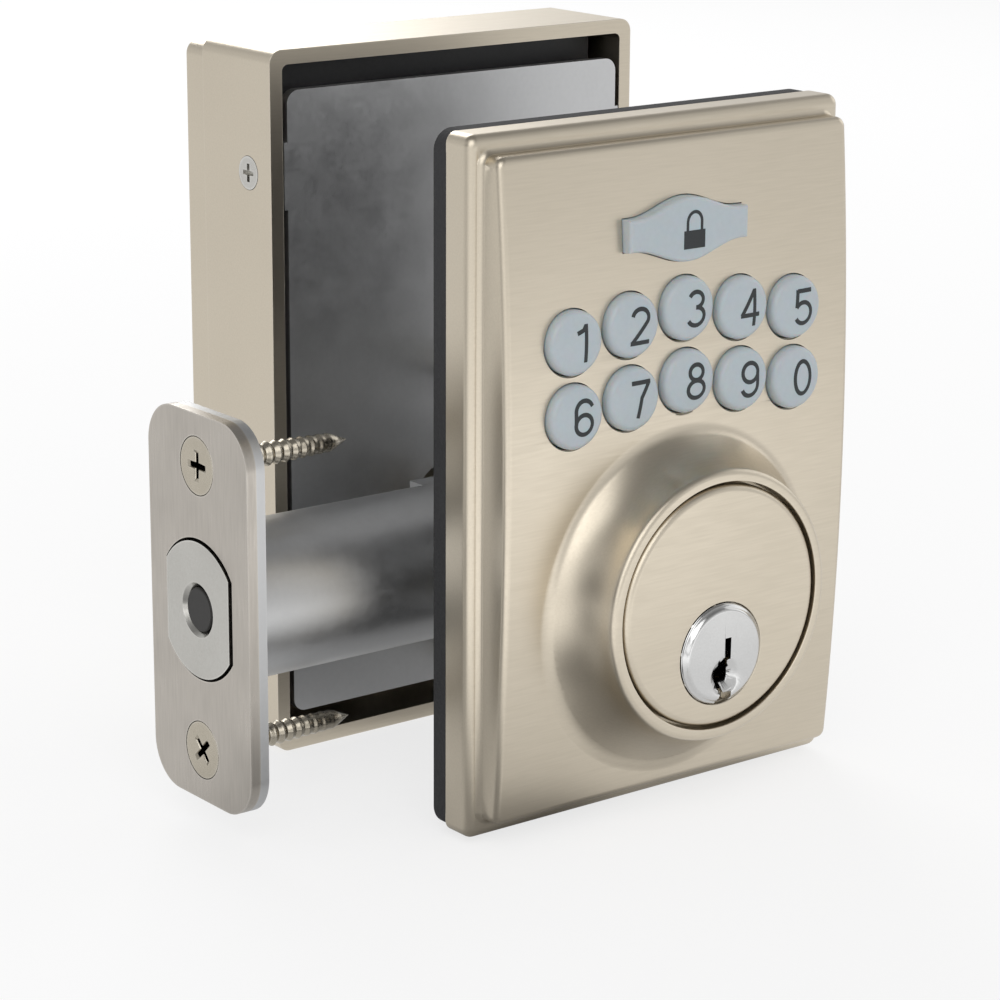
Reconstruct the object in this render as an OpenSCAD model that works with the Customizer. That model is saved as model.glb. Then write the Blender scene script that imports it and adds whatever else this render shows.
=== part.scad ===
// Keypad deadbolt for a hinged door: keypad and key cylinder outside, latch in the door's edge,
// battery motor drive and thumbturn inside. Millimetres. The origin is on the spindle axis in the
// plane of the door's outer face. +X is right seen from outside, +Y goes into the door, +Z is up.
// The bolt is drawn back and every key is released.

/* [Door] */
// Thickness of the door that the lock clamps
door_t = 40; // [36:1:45]
// Distance from the front of the faceplate to the spindle axis
backset = 60.3; // [60:0.1:70]

/* [Exterior housing] */
// Width of the housing
esc_w = 68; // [66:0.5:72]
// Height of the housing
esc_h = 100.8; // [98:0.2:104]
// Height of the housing's middle above the spindle axis
esc_mid = 18; // [17:0.1:19]
// Thickness of the foam gasket against the door
gasket_t = 2.8; // [2:0.1:3]
// Distance from the door to the ledge round the front plate
ledge_y = 8; // [7:0.1:8.5]
// Width of that ledge at the sides
ledge_w = 2.1; // [1.5:0.1:2.5]
// Width of that ledge at the top and bottom
ledge_h = 2.7; // [1.5:0.1:3]
// Distance from the door to the top and bottom ends of the arched front plate
face_end_y = 11.7; // [11.5:0.1:12]
// Distance from the door to the crown of the front plate
face_mid_y = 13.9; // [13.7:0.1:14.2]
// Distance from the door to the lip of the round boss
boss_y = 22.8; // [22.6:0.1:24]
// Radius of that lip
boss_r = 20; // [19.6:0.1:20.5]

/* [Keypad] */
// Distance between neighbouring keys in a row
key_pitch = 10.2; // [10.2:0.1:10.6]
// Radius of a key
key_r = 4.6; // [4.3:0.1:4.6]
// Height of the upper row's end keys
key_row = 39.4; // [39.2:0.1:39.8]
// Distance between the two rows
row_pitch = 10.4; // [10.3:0.1:10.6]
// Rise of the middle key above the end keys of its row
row_arch = 2.3; // [1.5:0.1:2.5]
// Travel of a key
key_travel = 1; // [0.6:0.1:1]
// Height of the lock key's middle
lock_key_z = 53; // [52.8:0.1:53.2]

/* [Key cylinder] */
// Radius of the cylinder's round face
disk_r = 17.8; // [17.4:0.1:17.9]
// Distance of the plug's axis below the spindle axis
plug_drop = 7; // [6.9:0.1:7.1]
// Radius of the plug
plug_r = 6.35; // [6.3:0.01:6.36]
// Radius of the plug's head
plug_head_r = 7.4; // [7:0.1:7.5]

/* [Latch] */
// Width of the faceplate, along the door's thickness
face_w = 25.4; // [25:0.1:26]
// Height of the faceplate
face_h = 57.15; // [57:0.05:58]
// Radius of the bolt's round top and bottom
bolt_r = 10; // [9.5:0.1:10]
// Half the width of the bolt between its flat sides
bolt_flat = 8; // [7.5:0.1:8.2]
// Throw of the bolt
throw_x = 25.4; // [25:0.1:25.4]
// Half the distance between the faceplate's screws
face_screw_z = 21; // [20.6:0.1:21.2]

/* [Interior housing] */
// Width of the interior housing
int_w = 68; // [68:0.5:70]
// Lowest point of the interior housing
int_low = -33; // [-34:0.1:-33]
// Highest point of the interior housing
int_top = 74.6; // [74.6:0.1:76]
// Depth of its body from the door to the ledge
int_body = 18; // [18:0.1:19]
// Depth from the door to its front
int_depth = 24; // [24:0.1:25]
// Length of the thumbturn's handle
turn_len = 34; // [30:1:38]

/* [Hidden] */
// Gears: the couplings between the joints follow from these counts of teeth.
drive_m = 0.6;      // module of the motor drive
key_m = 0.7;        // module of the two key gears
key_teeth = 10;     // teeth of each key gear
out_teeth = 44;     // teeth of the output gear
small_teeth = 12;   // teeth of the idler's small gear
large_teeth = 30;   // teeth of the idler's large gear
pinion_teeth = 10;  // teeth of the motor pinion

$fn = 48;
eps = 0.01;        // overlap of a cutter past the face it cuts
run = 0.05;        // radial clearance of a turning or sliding fit
wall = 2.2;        // wall of both housings
nickel = [0.80, 0.76, 0.68];
chrome = [0.85, 0.86, 0.87];
steel = [0.66, 0.65, 0.63];
brass = [0.80, 0.66, 0.36];
black = [0.08, 0.08, 0.09];
key_grey = [0.72, 0.77, 0.80];
board_green = [0.06, 0.30, 0.18];

// ---------------------------------------------------------------- shapes that repeat

// Extrudes an outline drawn in X and Z from y0 to y1.
module slab(y0, y1) {
    rotate([90, 0, 0]) translate([0, 0, -y1]) linear_extrude(height = y1 - y0) children();
}

// Extrudes an outline drawn in Y and Z from x0 to x1.
module slab_x(x0, x1) {
    translate([x0, 0, 0]) rotate([90, 0, 90]) linear_extrude(height = x1 - x0) children();
}

// Round bar along Y, at = [x, z].
module rod(r, y0, y1, at = [0, 0]) {
    translate([at[0], y0, at[1]]) rotate([-90, 0, 0]) cylinder(r = r, h = y1 - y0);
}

// Cone along Y, radius r0 at y0 and r1 at y1.
module cone(r0, r1, y0, y1, at = [0, 0]) {
    translate([at[0], y0, at[1]]) rotate([-90, 0, 0]) cylinder(r1 = r0, r2 = r1, h = y1 - y0);
}

// Round bar along X, at = [y, z].
module rod_x(r, x0, x1, at = [0, 0]) {
    translate([x0, at[0], at[1]]) rotate([0, 90, 0]) cylinder(r = r, h = x1 - x0);
}

// Block between two corners.
module block(low, high) {
    translate(low) cube(high - low);
}

module rounded_rect(w, h, r) {
    square([w - 2 * r, h], center = true);
    square([w, h - 2 * r], center = true);
    for (x = [-1, 1], y = [-1, 1]) translate([x * (w / 2 - r), y * (h / 2 - r)]) circle(r);
}

// Round bar with two flat sides, drawn about the origin: the section of the bolt.
module double_d(r, flat) {
    intersection() {
        circle(r);
        square([2 * flat, 2 * r], center = true);
    }
}

// Sector of a ring between two radii and two angles.
module sector(r0, r1, a0, a1, steps = 8) {
    polygon(concat(
        [for (i = [0:steps]) let (a = a0 + (a1 - a0) * i / steps) r1 * [cos(a), sin(a)]],
        [for (i = [steps:-1:0]) let (a = a0 + (a1 - a0) * i / steps) r0 * [cos(a), sin(a)]]
    ));
}

// Spur gear outline, centred, with its first tooth at angle turn. The teeth are straight-flanked
// and thinned at the pitch circle, for backlash.
module gear(m, teeth, turn = 0) {
    r = m * teeth / 2;
    pitch = 360 / teeth;
    tip_r = r + 0.9 * m;
    root_r = r - 1.2 * m;
    half = [0.335, 0.215, 0.105] * pitch;   // half widths at root, pitch circle and tip
    circle(root_r + eps);
    for (i = [0:teeth - 1]) rotate(turn + i * pitch) polygon([
        root_r * [cos(half[0]), -sin(half[0])], r * [cos(half[1]), -sin(half[1])],
        tip_r * [cos(half[2]), -sin(half[2])], tip_r * [cos(half[2]), sin(half[2])],
        r * [cos(half[1]), sin(half[1])], root_r * [cos(half[0]), sin(half[0])],
        [0, 0]
    ]);
}

// Coil spring along Z from z0 to z1, mean radius r, round wire.
module coil(r, wire_r, turns, z0, z1) {
    rings = turns * 12;
    sides = 6;
    points = [for (i = [0:rings], s = [0:sides - 1])
        let (a = i * 360 / 12, b = s * 360 / sides, q = r + wire_r * cos(b))
        [q * cos(a), q * sin(a), z0 + wire_r + (z1 - z0 - 2 * wire_r) * i / rings + wire_r * sin(b)]];
    walls = [for (i = [0:rings - 1], s = [0:sides - 1])
        let (t = (s + 1) % sides, c = i * sides)
        [c + s, c + t, c + sides + t, c + sides + s]];
    polyhedron(concat(points), concat(walls,
        [[for (s = [sides - 1:-1:0]) s]], [[for (s = [0:sides - 1]) rings * sides + s]]));
}

// Pan-head or countersunk machine screw along Y with its head towards +Y, top of head at y = 0.
module screw(head_r, head_h, shank_r, length, countersunk = false) {
    difference() {
        union() {
            if (countersunk) cone(shank_r, head_r, -head_h, 0);
            else rod(head_r, -head_h, 0);
            rod(shank_r, -length, -head_h + (countersunk ? 0.2 : eps));
        }
        for (a = [0, 90]) rotate([0, a, 0])
            block([-head_r * 0.55, -head_h * 0.6, -head_r * 0.14], [head_r * 0.55, eps, head_r * 0.14]);
    }
}

// ---------------------------------------------------------------- exterior housing

arch_r = (pow(esc_h / 2 - ledge_h, 2) + pow(face_mid_y - face_end_y, 2))
    / (2 * (face_mid_y - face_end_y));   // radius of the arched front

// Distance of the arched front from the door at height z.
function face_y(z) = face_mid_y - arch_r + sqrt(arch_r * arch_r - pow(z - esc_mid, 2));

key_names = [1, 2, 3, 4, 5, 6, 7, 8, 9, 0];
function key_at(i) = let (c = i % 5 - 2, row = floor(i / 5))
    [c * key_pitch, key_row - row * row_pitch + row_arch * (1 - abs(c) / 2)];
key_hole = 0.15;   // gap round a key
key_proud = 1.7;   // a key's top stands this far out of the arched front

// Outline of the lock key: flat ends and a crowned middle.
lock_half = 10.9;
lock_end = 2.3;
lock_crown = 2.3;
function lock_edge(x) = lock_end + lock_crown * (1 + cos(180 * min(1, abs(x) / 9.8))) / 2;
module lock_outline(grow = 0) {
    steps = 24;
    xs = [for (i = [0:steps]) (lock_half + grow) * (2 * i / steps - 1)];
    translate([0, lock_key_z]) polygon(concat(
        [for (x = xs) [x, lock_edge(x) + grow]],
        [for (i = [steps:-1:0]) [xs[i], -lock_edge(xs[i]) - grow]]
    ));
}

back_screw_at = [for (x = [-27.2, 27.2], z = [-27.2, 62.8]) [x, z]];
board_screw_at = [for (x = [-27.6, 27.6], z = [22.4, 47.2]) [x, z]];
cyl_screw_at = [[-11, 4], [11, 4]];
post_z = 23.6;     // through bolts above and below the spindle axis
post_r = 3.1;
bolt_shank_r = 2;
bore_r = 27;       // the door's cross bore
plate_y = [-gasket_t - 1.6, -gasket_t];   // exterior back plate
board_y = [-7.1, -5.5];        // keypad board
mat_y = [-8.4, -7.1];          // keypad mat
seat_y = boss_y - 2.8;         // seat of the cylinder's face in the boss
pocket_y = [11.8, 10.9];       // undersides of the front plate over the keys and over the lock key
flange_r = 4.95;               // flange that keeps a key behind the front plate
pocket_z = [key_row - row_pitch - flange_r - 0.4, key_row + row_arch + flange_r + 0.4];
lock_flange_h = 11.4;          // height of the lock key's flange

module arch_limit(drop) {
    translate([-esc_w, -face_mid_y + arch_r, esc_mid]) rotate([0, 90, 0])
        cylinder(r = arch_r - drop, h = 2 * esc_w, $fn = 200);
}

// Round boss whose side flares out towards the front plate.
module escutcheon_boss() {
    flare = 12;
    lip = 0.5;
    rotate([90, 0, 0]) rotate_extrude($fn = 96) polygon(concat(
        [[0, 6], [boss_r + flare * (1 - cos(58)), 6]],
        [for (a = [58:-4:6]) [boss_r + flare * (1 - cos(a)), boss_y - flare * sin(a)]],
        [[boss_r, boss_y - lip], [boss_r - lip, boss_y], [0, boss_y]]
    ));
}

module escutcheon() color(nickel) difference() {
    union() {
        slab(-ledge_y, -gasket_t) translate([0, esc_mid]) rounded_rect(esc_w, esc_h, 1.6);
        intersection() {
            slab(-20, -gasket_t - 1) translate([0, esc_mid])
                rounded_rect(esc_w - 2 * ledge_w, esc_h - 2 * ledge_h, 1.2);
            arch_limit(0);
        }
        escutcheon_boss();
    }
    difference() {
        union() {
            slab(-ledge_y + wall - 1, 0) translate([0, esc_mid])
                rounded_rect(esc_w - 2 * wall, esc_h - 2 * wall, 1);
            intersection() {
                slab(-20, 0) translate([0, esc_mid])
                    rounded_rect(esc_w - 2 * ledge_w - 2 * wall, esc_h - 2 * ledge_h - 2 * wall, 1);
                arch_limit(wall);
            }
        }
        for (p = back_screw_at) rod(2.4, -20, plate_y[0], p);
        for (p = board_screw_at) rod(2.2, -20, board_y[0], p);
    }
    block([-26.2, -pocket_y[0], pocket_z[0]], [26.2, -8, pocket_z[1]]);
    block([-13, -pocket_y[1], pocket_z[1]], [13, -8, lock_key_z + lock_flange_h / 2 + 0.4]);
    for (i = [0:9]) rod(key_r + key_hole, -20, -8, key_at(i));
    slab(-20, -8) lock_outline(key_hole);
    rod(16.4, -seat_y - eps, 0);
    rod(disk_r + 0.35, -boss_y - 1, -seat_y);
    for (p = back_screw_at) rod(1.25, -9.8, 0, p);
    for (p = board_screw_at) rod(1.05, -10.2, 0, p);
}

module exterior_gasket() color(black) slab(-gasket_t, 0) difference() {
    translate([0, esc_mid]) rounded_rect(esc_w, esc_h, 3);
    circle(bore_r);
    for (p = back_screw_at) translate(p) circle(3.2);
}

module exterior_back_plate() color(steel) difference() {
    slab(plate_y[0], plate_y[1]) difference() {
        translate([0, esc_mid]) rounded_rect(esc_w - 2 * wall - 0.6, esc_h - 2 * wall - 0.6, 1);
        translate([0, -plug_drop]) circle(9.7);
        translate([-5, -plug_drop]) square([10, plug_drop + 14.8]);
        translate([6.5, 14.6]) square([11, 8.4]);
        for (p = cyl_screw_at) translate(p) circle(1.6);
    }
    for (p = back_screw_at) rod(1.35, -5, 0, p);
    for (z = [-post_z, post_z]) rod(2.2, -5, 0, [0, z]);
}

module back_plate_screws() color(steel) for (p = back_screw_at)
    translate([p[0], plate_y[1] + 1.3, p[1]]) screw(2.6, 1.3, 1.2, 7);

module bolt_posts() color(steel) for (z = [-post_z, post_z]) difference() {
    union() {
        rod(post_r, plate_y[1], 9, [0, z]);
        rod(2.2 - run, plate_y[0], plate_y[1] + eps, [0, z]);
    }
    rod(bolt_shank_r + run, -3.4, 9 + eps, [0, z]);
}

// ---------------------------------------------------------------- keypad

module keypad_mat() color(key_grey) {
    slab(mat_y[0] + 0.3, mat_y[1]) difference() {
        translate([0, 40.6]) square([53, 36], center = true);
        for (p = board_screw_at) translate(p) circle(2.7);
    }
    for (i = [0:9]) rod(2.6, mat_y[0], mat_y[0] + 0.4, key_at(i));
    rod(2.6, mat_y[0], mat_y[0] + 0.4, [0, lock_key_z]);
}

module keypad_board() color(board_green) {
    slab(board_y[0], board_y[1]) difference() {
        translate([0, 40.2]) square([58, 40], center = true);
        for (p = board_screw_at) translate(p) circle(1.2);
    }
    block([7, board_y[1] - eps, 23], [17, board_y[1] + 0.9, 26.4]);
    block([-18, board_y[1] - eps, 34], [-9, board_y[1] + 0.8, 43]);
    for (z = [30, 36, 42, 48]) block([14, board_y[1] - eps, z], [16.4, board_y[1] + 0.6, z + 1.4]);
}

module keypad_board_screws() color(steel) for (p = board_screw_at)
    translate([p[0], board_y[1] + 0.9, p[1]]) screw(1.9, 0.9, 1, 4);

// A key: its cap stands out of the front plate, its flange stops behind it and its stem bears on
// the mat's dome. The cap's top is crowned.
module digit_key(i) color(key_grey) {
    top = face_y(key_at(i)[1]) + key_proud;
    rod(key_r, -top + 0.5, -pocket_y[0] + 0.2, key_at(i));
    cone(key_r - 0.7, key_r, -top, -top + 0.5 + eps, key_at(i));
    rod(flange_r, -pocket_y[0] + 0.1, -pocket_y[0] + 0.9, key_at(i));
    rod(1.6, -pocket_y[0] + 0.9 - eps, mat_y[0] - key_travel - 0.05, key_at(i));
}

module lock_key() color(key_grey) {
    top = face_y(lock_key_z) + key_proud;
    slab(-top + 0.4, -pocket_y[1] + 0.1) lock_outline();
    slab(-top, -top + 0.4 + eps) lock_outline(-0.6);
    slab(-pocket_y[1] + 0.1, -pocket_y[1] + 0.7) intersection() {
        lock_outline(0.5);
        translate([0, lock_key_z]) square([24, lock_flange_h], center = true);
    }
    rod(1.6, -pocket_y[1] + 0.7 - eps, mat_y[0] - key_travel - 0.05, [0, lock_key_z]);
}

// ---------------------------------------------------------------- key cylinder

plug_z = -plug_drop;
plug_front = boss_y + 0.9;            // distance of the plug's face from the door
cyl_front = boss_y + 0.1;            // distance of the cylinder's face from the door
head_y = cyl_front - 1.5;      // seat of the plug's head
cyl_rear = 2;                  // y of the cylinder's rear
plug_shoulder = -0.2;          // y where the plug steps down to its tail
tail_r = 4.4;
pilot_r = 0.75;                // spindle's front pin, in the cylinder's rear
pin_pitch = 3.96;
pin_r = 1.42;
pin_y = [for (i = [0:4]) -2.7 - i * pin_pitch];
key_pin_len = [3.6, 4.6, 4, 5.2, 4.4];
shear_z = plug_z + plug_r;

// Section of the keyway about the plug's axis.
module keyway() polygon([
    [0.1, 2.4], [1.25, 2.4], [1.2, -0.7], [0.6, -1.2], [1.1, -1.9], [0.9, -4.1], [-0.35, -4.1],
    [0, -5.7], [1.4, -5.7], [1.4, -8], [-1.2, -8], [-1.2, -6.8], [-0.6, -5.8], [-1.3, -3.9],
    [-0.5, -1.3], [0.1, -0.8]
]);

module cylinder_housing() color(nickel) difference() {
    union() {
        rod(disk_r, -cyl_front + 0.6, -seat_y);
        cone(disk_r - 0.6, disk_r, -cyl_front, -cyl_front + 0.6 + eps);
        rod(9.2, -seat_y - eps, cyl_rear, [0, plug_z]);
        slab(-seat_y - eps, cyl_rear) translate([-4.5, plug_z]) square([9, plug_drop + 14.2]);
        for (p = cyl_screw_at) {
            rod(2.6, -seat_y - eps, plate_y[0], p);
            slab(-seat_y - eps, plate_y[0]) translate([min(0, p[0]), p[1] - 1.4]) square([abs(p[0]), 2.8]);
        }
    }
    rod(plug_head_r + 0.1, -cyl_front - 1, -head_y, [0, plug_z]);
    rod(plug_r + run, -head_y - eps, plug_shoulder, [0, plug_z]);
    rod(tail_r + run, plug_shoulder - eps, cyl_rear + 1, [0, plug_z]);
    for (y = pin_y) translate([0, y, plug_z + plug_r - 0.6]) cylinder(r = pin_r + 0.08, h = 13.6);
    for (p = cyl_screw_at) rod(1.25, -12.4, 0, p);
    rod(pilot_r + run, 0.1, cyl_rear + 1);
}

module cylinder_screws() color(steel) for (p = cyl_screw_at)
    translate([p[0], plate_y[1] + 1.2, p[1]]) screw(2.4, 1.2, 1.2, 10);

module cylinder_plug() color(chrome) difference() {
    union() {
        cone(plug_head_r - 0.9, plug_head_r, -plug_front, -plug_front + 0.7 + eps, [0, plug_z]);
        rod(plug_head_r, -plug_front + 0.7, -head_y - 0.1, [0, plug_z]);
        rod(plug_r, -head_y - 0.1 - eps, plug_shoulder - 0.1, [0, plug_z]);
        rod(tail_r, plug_shoulder - 0.1 - eps, 2.25, [0, plug_z]);
        rod(3.9, 2.25 - eps, 2.95, [0, plug_z]);
        rod(tail_r, 2.95 - eps, 3.3, [0, plug_z]);
        rod(1.5, 3.3 - eps, 7, [0, plug_z]);
    }
    slab(-plug_front - 1, -1.6) translate([0, plug_z]) keyway();
    cone(2.9, 0.3, -plug_front - eps, -plug_front + 1.4, [0.1, plug_z - 3.2]);
    for (y = pin_y) translate([0, y, plug_z]) cylinder(r = pin_r + 0.08, h = plug_r + 1);
}

module key_pins() color(brass) for (i = [0:4]) translate([0, pin_y[i], shear_z - 0.2]) mirror([0, 0, 1]) {
    cylinder(r = pin_r, h = key_pin_len[i] - 1);
    translate([0, 0, key_pin_len[i] - 1 - eps]) cylinder(r1 = pin_r, r2 = 0.4, h = 1);
}

driver_len = 4.5;
module driver_pins() color(steel) for (y = pin_y)
    translate([0, y, shear_z + 0.1]) cylinder(r = pin_r, h = driver_len);

module pin_springs() color(steel) for (y = pin_y)
    translate([0, y, 0]) coil(1.1, 0.16, 6, shear_z + 0.1 + driver_len, 12.3);

module plug_clip() color(steel) slab(2.3, 2.9) translate([0, plug_z]) sector(3.95, 5.1, 290, 610, 20);

// The dogs of the key gear and of the spindle stand three quarters of a turn apart in play.
dog_half = 20;
spindle_dog = 90;
gear_dog = 225;
dog_y = [7.1, 8.8];
key_gear_y = [3.7, 6.7];

module plug_gear() color(brass) slab(key_gear_y[0], key_gear_y[1] - 0.1) translate([0, plug_z]) difference() {
    gear(key_m, key_teeth, 90);
    circle(1.5);
}

module spindle_gear() color(brass) {
    slab(key_gear_y[0], key_gear_y[1]) difference() {
        gear(key_m, key_teeth, 270 + 180 / key_teeth);
        circle(1.5 + run);
    }
    slab(key_gear_y[1] - eps, dog_y[1]) sector(3.7, 5.3, gear_dog - dog_half, gear_dog + dog_half);
    slab(key_gear_y[1] - eps, dog_y[0] - 0.1)
        sector(1.7, 3.8, gear_dog - dog_half, gear_dog + dog_half);
}

blade = [2.4, 6.4];   // section of the spindle
blade_end = 58;
module spindle() color(steel) {
    rod(pilot_r, 0.3, key_gear_y[0] - 0.4 + eps);
    rod(1.5, key_gear_y[0] - 0.4, dog_y[0] + eps);
    slab(dog_y[0], blade_end) square(blade, center = true);
    slab(dog_y[0], dog_y[1]) sector(0, 5.3, spindle_dog - dog_half, spindle_dog + dog_half);
}

// ---------------------------------------------------------------- latch

latch_y = door_t / 2;
front_x = -backset;
plate_x = [front_x, front_x + 1.6, front_x + 3];   // faceplate, then backplate
tube_r = 11.3;
tube_end = -19;
crank_r = throw_x / (2 * sin(45));
arm_y = [latch_y + 0.3, latch_y + 3.3];
link_y = [latch_y - 3, latch_y - 0.4];
link_z = [-9.4, -5.9];
crank_pin_r = 2;
saw_pin_r = 3.2;
fork_play = 0.6;               // the crank pin runs this far ahead of an even drive
case_y = [latch_y - 8.2, latch_y + 8.2];
case_x = 19;
hub_r = 5.5;
hub_journal_r = 4.5;

module faceplate_outline() translate([latch_y, 0]) rounded_rect(face_w, face_h, 6.35);

module faceplate() color(steel) difference() {
    slab_x(plate_x[0], plate_x[1]) difference() {
        faceplate_outline();
        translate([latch_y, 0]) double_d(bolt_r + 0.4, bolt_flat + 0.5);
    }
    for (z = [-1, 1]) translate([front_x, latch_y, z * face_screw_z]) rotate([0, 90, 0]) {
        translate([0, 0, -1]) cylinder(r = 4.3, h = 1.2 + eps);
        translate([0, 0, 0.2]) cylinder(r1 = 4.3, r2 = 2, h = 2.2);
    }
}

// The tube stands in the backplate's round hole, so the backplate's rear seats in the mortise.
module latch_backplate() color(steel) difference() {
    slab_x(plate_x[1], plate_x[2]) faceplate_outline();
    rod_x(tube_r + run, front_x, -50, [latch_y, 0]);
    for (z = [-1, 1]) rod_x(3.4, front_x, -50, [latch_y, z * face_screw_z]);
}

module latch_tube() color(steel) difference() {
    rod_x(tube_r, plate_x[1], tube_end, [latch_y, 0]);
    rod_x(bolt_r + 0.4, front_x - 1, tube_end + 1, [latch_y, 0]);
}

module latch_case() color(steel) difference() {
    union() {
        rod_x(tube_r, tube_end, tube_end + 1.5, [latch_y, 0]);
        block([tube_end + 1.4, case_y[0], -9], [case_x, case_y[0] + 1, 10.2]);
        block([tube_end + 1.4, case_y[1] - 1, -9], [case_x, case_y[1], 10.2]);
        block([tube_end + 1.4, case_y[0], 9.2], [case_x, case_y[1], 10.2]);
    }
    block([tube_end - 1, link_y[0] - 0.5, link_z[0] - 0.5], [tube_end + 2, link_y[1] + 0.5, link_z[1] + 0.5]);
    rod(hub_journal_r + run, 0, door_t);
}

module deadbolt() color(chrome) difference() {
    slab_x(front_x - 0.3, tube_end - 1.5) translate([latch_y, 0]) double_d(bolt_r, bolt_flat);
    block([tube_end - 13, link_y[0] - 0.1, -bolt_r - 1], [tube_end, link_y[1] + 0.1, link_z[1] + 0.1]);
    rod_x(saw_pin_r + run, front_x - 2, front_x + 16, [latch_y, 0]);
    translate([front_x - 0.3 - eps, latch_y, 0]) rotate([0, 90, 0])
        cylinder(r1 = saw_pin_r + 0.8, r2 = saw_pin_r + run, h = 0.8);
    rod(1, latch_y - 6, latch_y + 4, [tube_end - 7.5, -7.6]);
}

module anti_saw_pin() color(black) rod_x(saw_pin_r, front_x + 0.8, front_x + 16, [latch_y, 0]);

// Link from the bolt to the crank, with a fork that straddles the crank's pin.
module bolt_link() color(steel) difference() {
    pin_x = throw_x / 2;
    side = crank_pin_r + fork_play;
    union() {
        block([tube_end - 12.5, link_y[0], link_z[0]], [pin_x + side + 1.8, link_y[1], link_z[1]]);
        block([pin_x - side - 1.8, link_y[0], -crank_r - 2.4], [pin_x + side + 1.8, link_y[1], link_z[1]]);
    }
    block([pin_x - side, 0, -crank_r - 3], [pin_x + side, door_t, -9.6]);
    rod(1, 0, door_t, [tube_end - 7.5, -7.6]);
}

module link_pin() color(steel) rod(1, latch_y - 5, latch_y + 4, [tube_end - 7.5, -7.6]);

// Hub turned by the spindle. Its crank arm points back and down while the bolt is drawn.
module latch_hub() color(brass) difference() {
    union() {
        rod(hub_r, case_y[0] + 1.1, case_y[1] - 1.1);
        rod(hub_journal_r, case_y[0] - 0.2, case_y[1] + 0.2);
        rotate([0, 45, 0]) slab(arm_y[0], arm_y[1]) {
            translate([0, -2.6]) square([crank_r, 5.2]);
            translate([crank_r, 0]) circle(2.4);
        }
        rotate([0, 45, 0]) rod(crank_pin_r, link_y[0] - 0.3, arm_y[0] + eps, [crank_r, 0]);
    }
    slab(0, door_t) square(blade + [0.4, 0.4], center = true);
}

// Countersunk wood screw: plain shank, then a thread that thins to its point.
module wood_screw(turn) {
    thread_x = 9;
    turns = 9;
    pitch = 1.5;
    rotate([0, 90, 0]) difference() {
        rotate_extrude() polygon(concat(
            [[0, 0], [4.2, 0], [4.2, 0.2], [1.9, 2.4], [1.9, thread_x]],
            [for (i = [0:turns - 1], s = [0, 1])
                [s == 0 ? 1.35 : 1.9 - 0.06 * i, thread_x + 0.3 + pitch * (i + s / 2)]],
            [[1.2, thread_x + pitch * turns + 0.3], [0, thread_x + pitch * turns + 3]]
        ));
        for (a = [0, 90]) rotate([0, 0, a + turn]) translate([-2.2, -0.5, -eps]) cube([4.4, 1, 1.5]);
    }
}

module wood_screws() color(nickel) for (z = [-1, 1])
    translate([front_x, latch_y, z * face_screw_z]) wood_screw(z > 0 ? 0 : 45);

// ---------------------------------------------------------------- interior

int_mid = (int_low + int_top) / 2;
int_h = int_top - int_low;
front_ledge = 1;               // ledge round the interior housing's front
front_w = int_w - 2 * front_ledge;
cover_wall = 1.5;
lip_y = [door_t + int_depth - 2.5, door_t + int_depth - 1.5];   // lip under the cover
in_plate_y = [door_t, door_t + 1.6];
housing_screw_z = [-14, 56];
screw_y = door_t + 6;
standoff_at = [for (x = [-24, 24], z = [32, 62]) [x, z]];
chassis_post_at = [[-23, -25], [23, -25], [-23, 8], [23, 8]];
chassis_y = [door_t + 11.2, door_t + 12.6];
split_z = 15;                  // battery cover above, fixed front below
tray_z = [15.8, 72.2];
tray_y = [door_t + 5.6, door_t + 15.9];
cell_r = 7.1;
cell_y = door_t + 14.2;
cell_x = [for (i = [0:3]) -22.2 + 14.8 * i];
can_len = 49.3;                // length of a cell without its nub
nub = 1.2;
contact_t = 0.4;
contact_z = [tray_z[0] + 1.2, tray_z[1] - 1.2];

module mounting_plate() color(steel) difference() {
    union() {
        slab(in_plate_y[0], in_plate_y[1]) translate([0, int_mid]) rounded_rect(62, int_h - 12, 2);
        for (x = [-31.6, 30.2], z = housing_screw_z)
            block([x, in_plate_y[0], z - 5], [x + 1.4, screw_y + 4, z + 5]);
        for (p = standoff_at) rod(2.2, in_plate_y[1] - eps, door_t + 3, p);
        for (p = chassis_post_at) rod(2.5, in_plate_y[1] - eps, chassis_y[0], p);
    }
    rod(9, door_t - 1, door_t + 3);
    slab(door_t - 1, door_t + 3) translate([6.5, 13]) square([11, 9.4]);
    for (z = [-post_z, post_z]) rod(2.3, door_t - 1, door_t + 3, [0, z]);
    for (p = standoff_at) rod(0.95, door_t + 1, door_t + 4, p);
    for (p = chassis_post_at) rod(1.05, door_t + 5, door_t + 12, p);
    for (z = housing_screw_z) rod_x(1.25, -34, 34, [screw_y, z]);
}

module through_bolts() color(steel) for (z = [-post_z, post_z])
    translate([0, in_plate_y[1] + 2.6, z]) screw(4, 2.6, bolt_shank_r, in_plate_y[1] + 2.6 + 1.5);

// Flat cable from the keypad board through the bore to the control board.
cable_x = [8, 16];
cable_t = 0.6;
cable_route = [[-5, 23], [-5, 20.8], [-2, 17.4], [3, 16.5], [door_t - 2, 16.5],
    [door_t + 2.3, 20], [door_t + 2.3, 31.4]];
module ribbon_cable() color([0.75, 0.75, 0.78]) slab_x(cable_x[0], cable_x[1])
    for (i = [0:len(cable_route) - 2]) {
        a = cable_route[i];
        b = cable_route[i + 1];
        translate(a) rotate(atan2(b[1] - a[1], b[0] - a[0])) translate([0, -cable_t / 2])
            square([norm(b - a), cable_t]);
        if (i > 0) translate(a) circle(cable_t / 2);
    }

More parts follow.
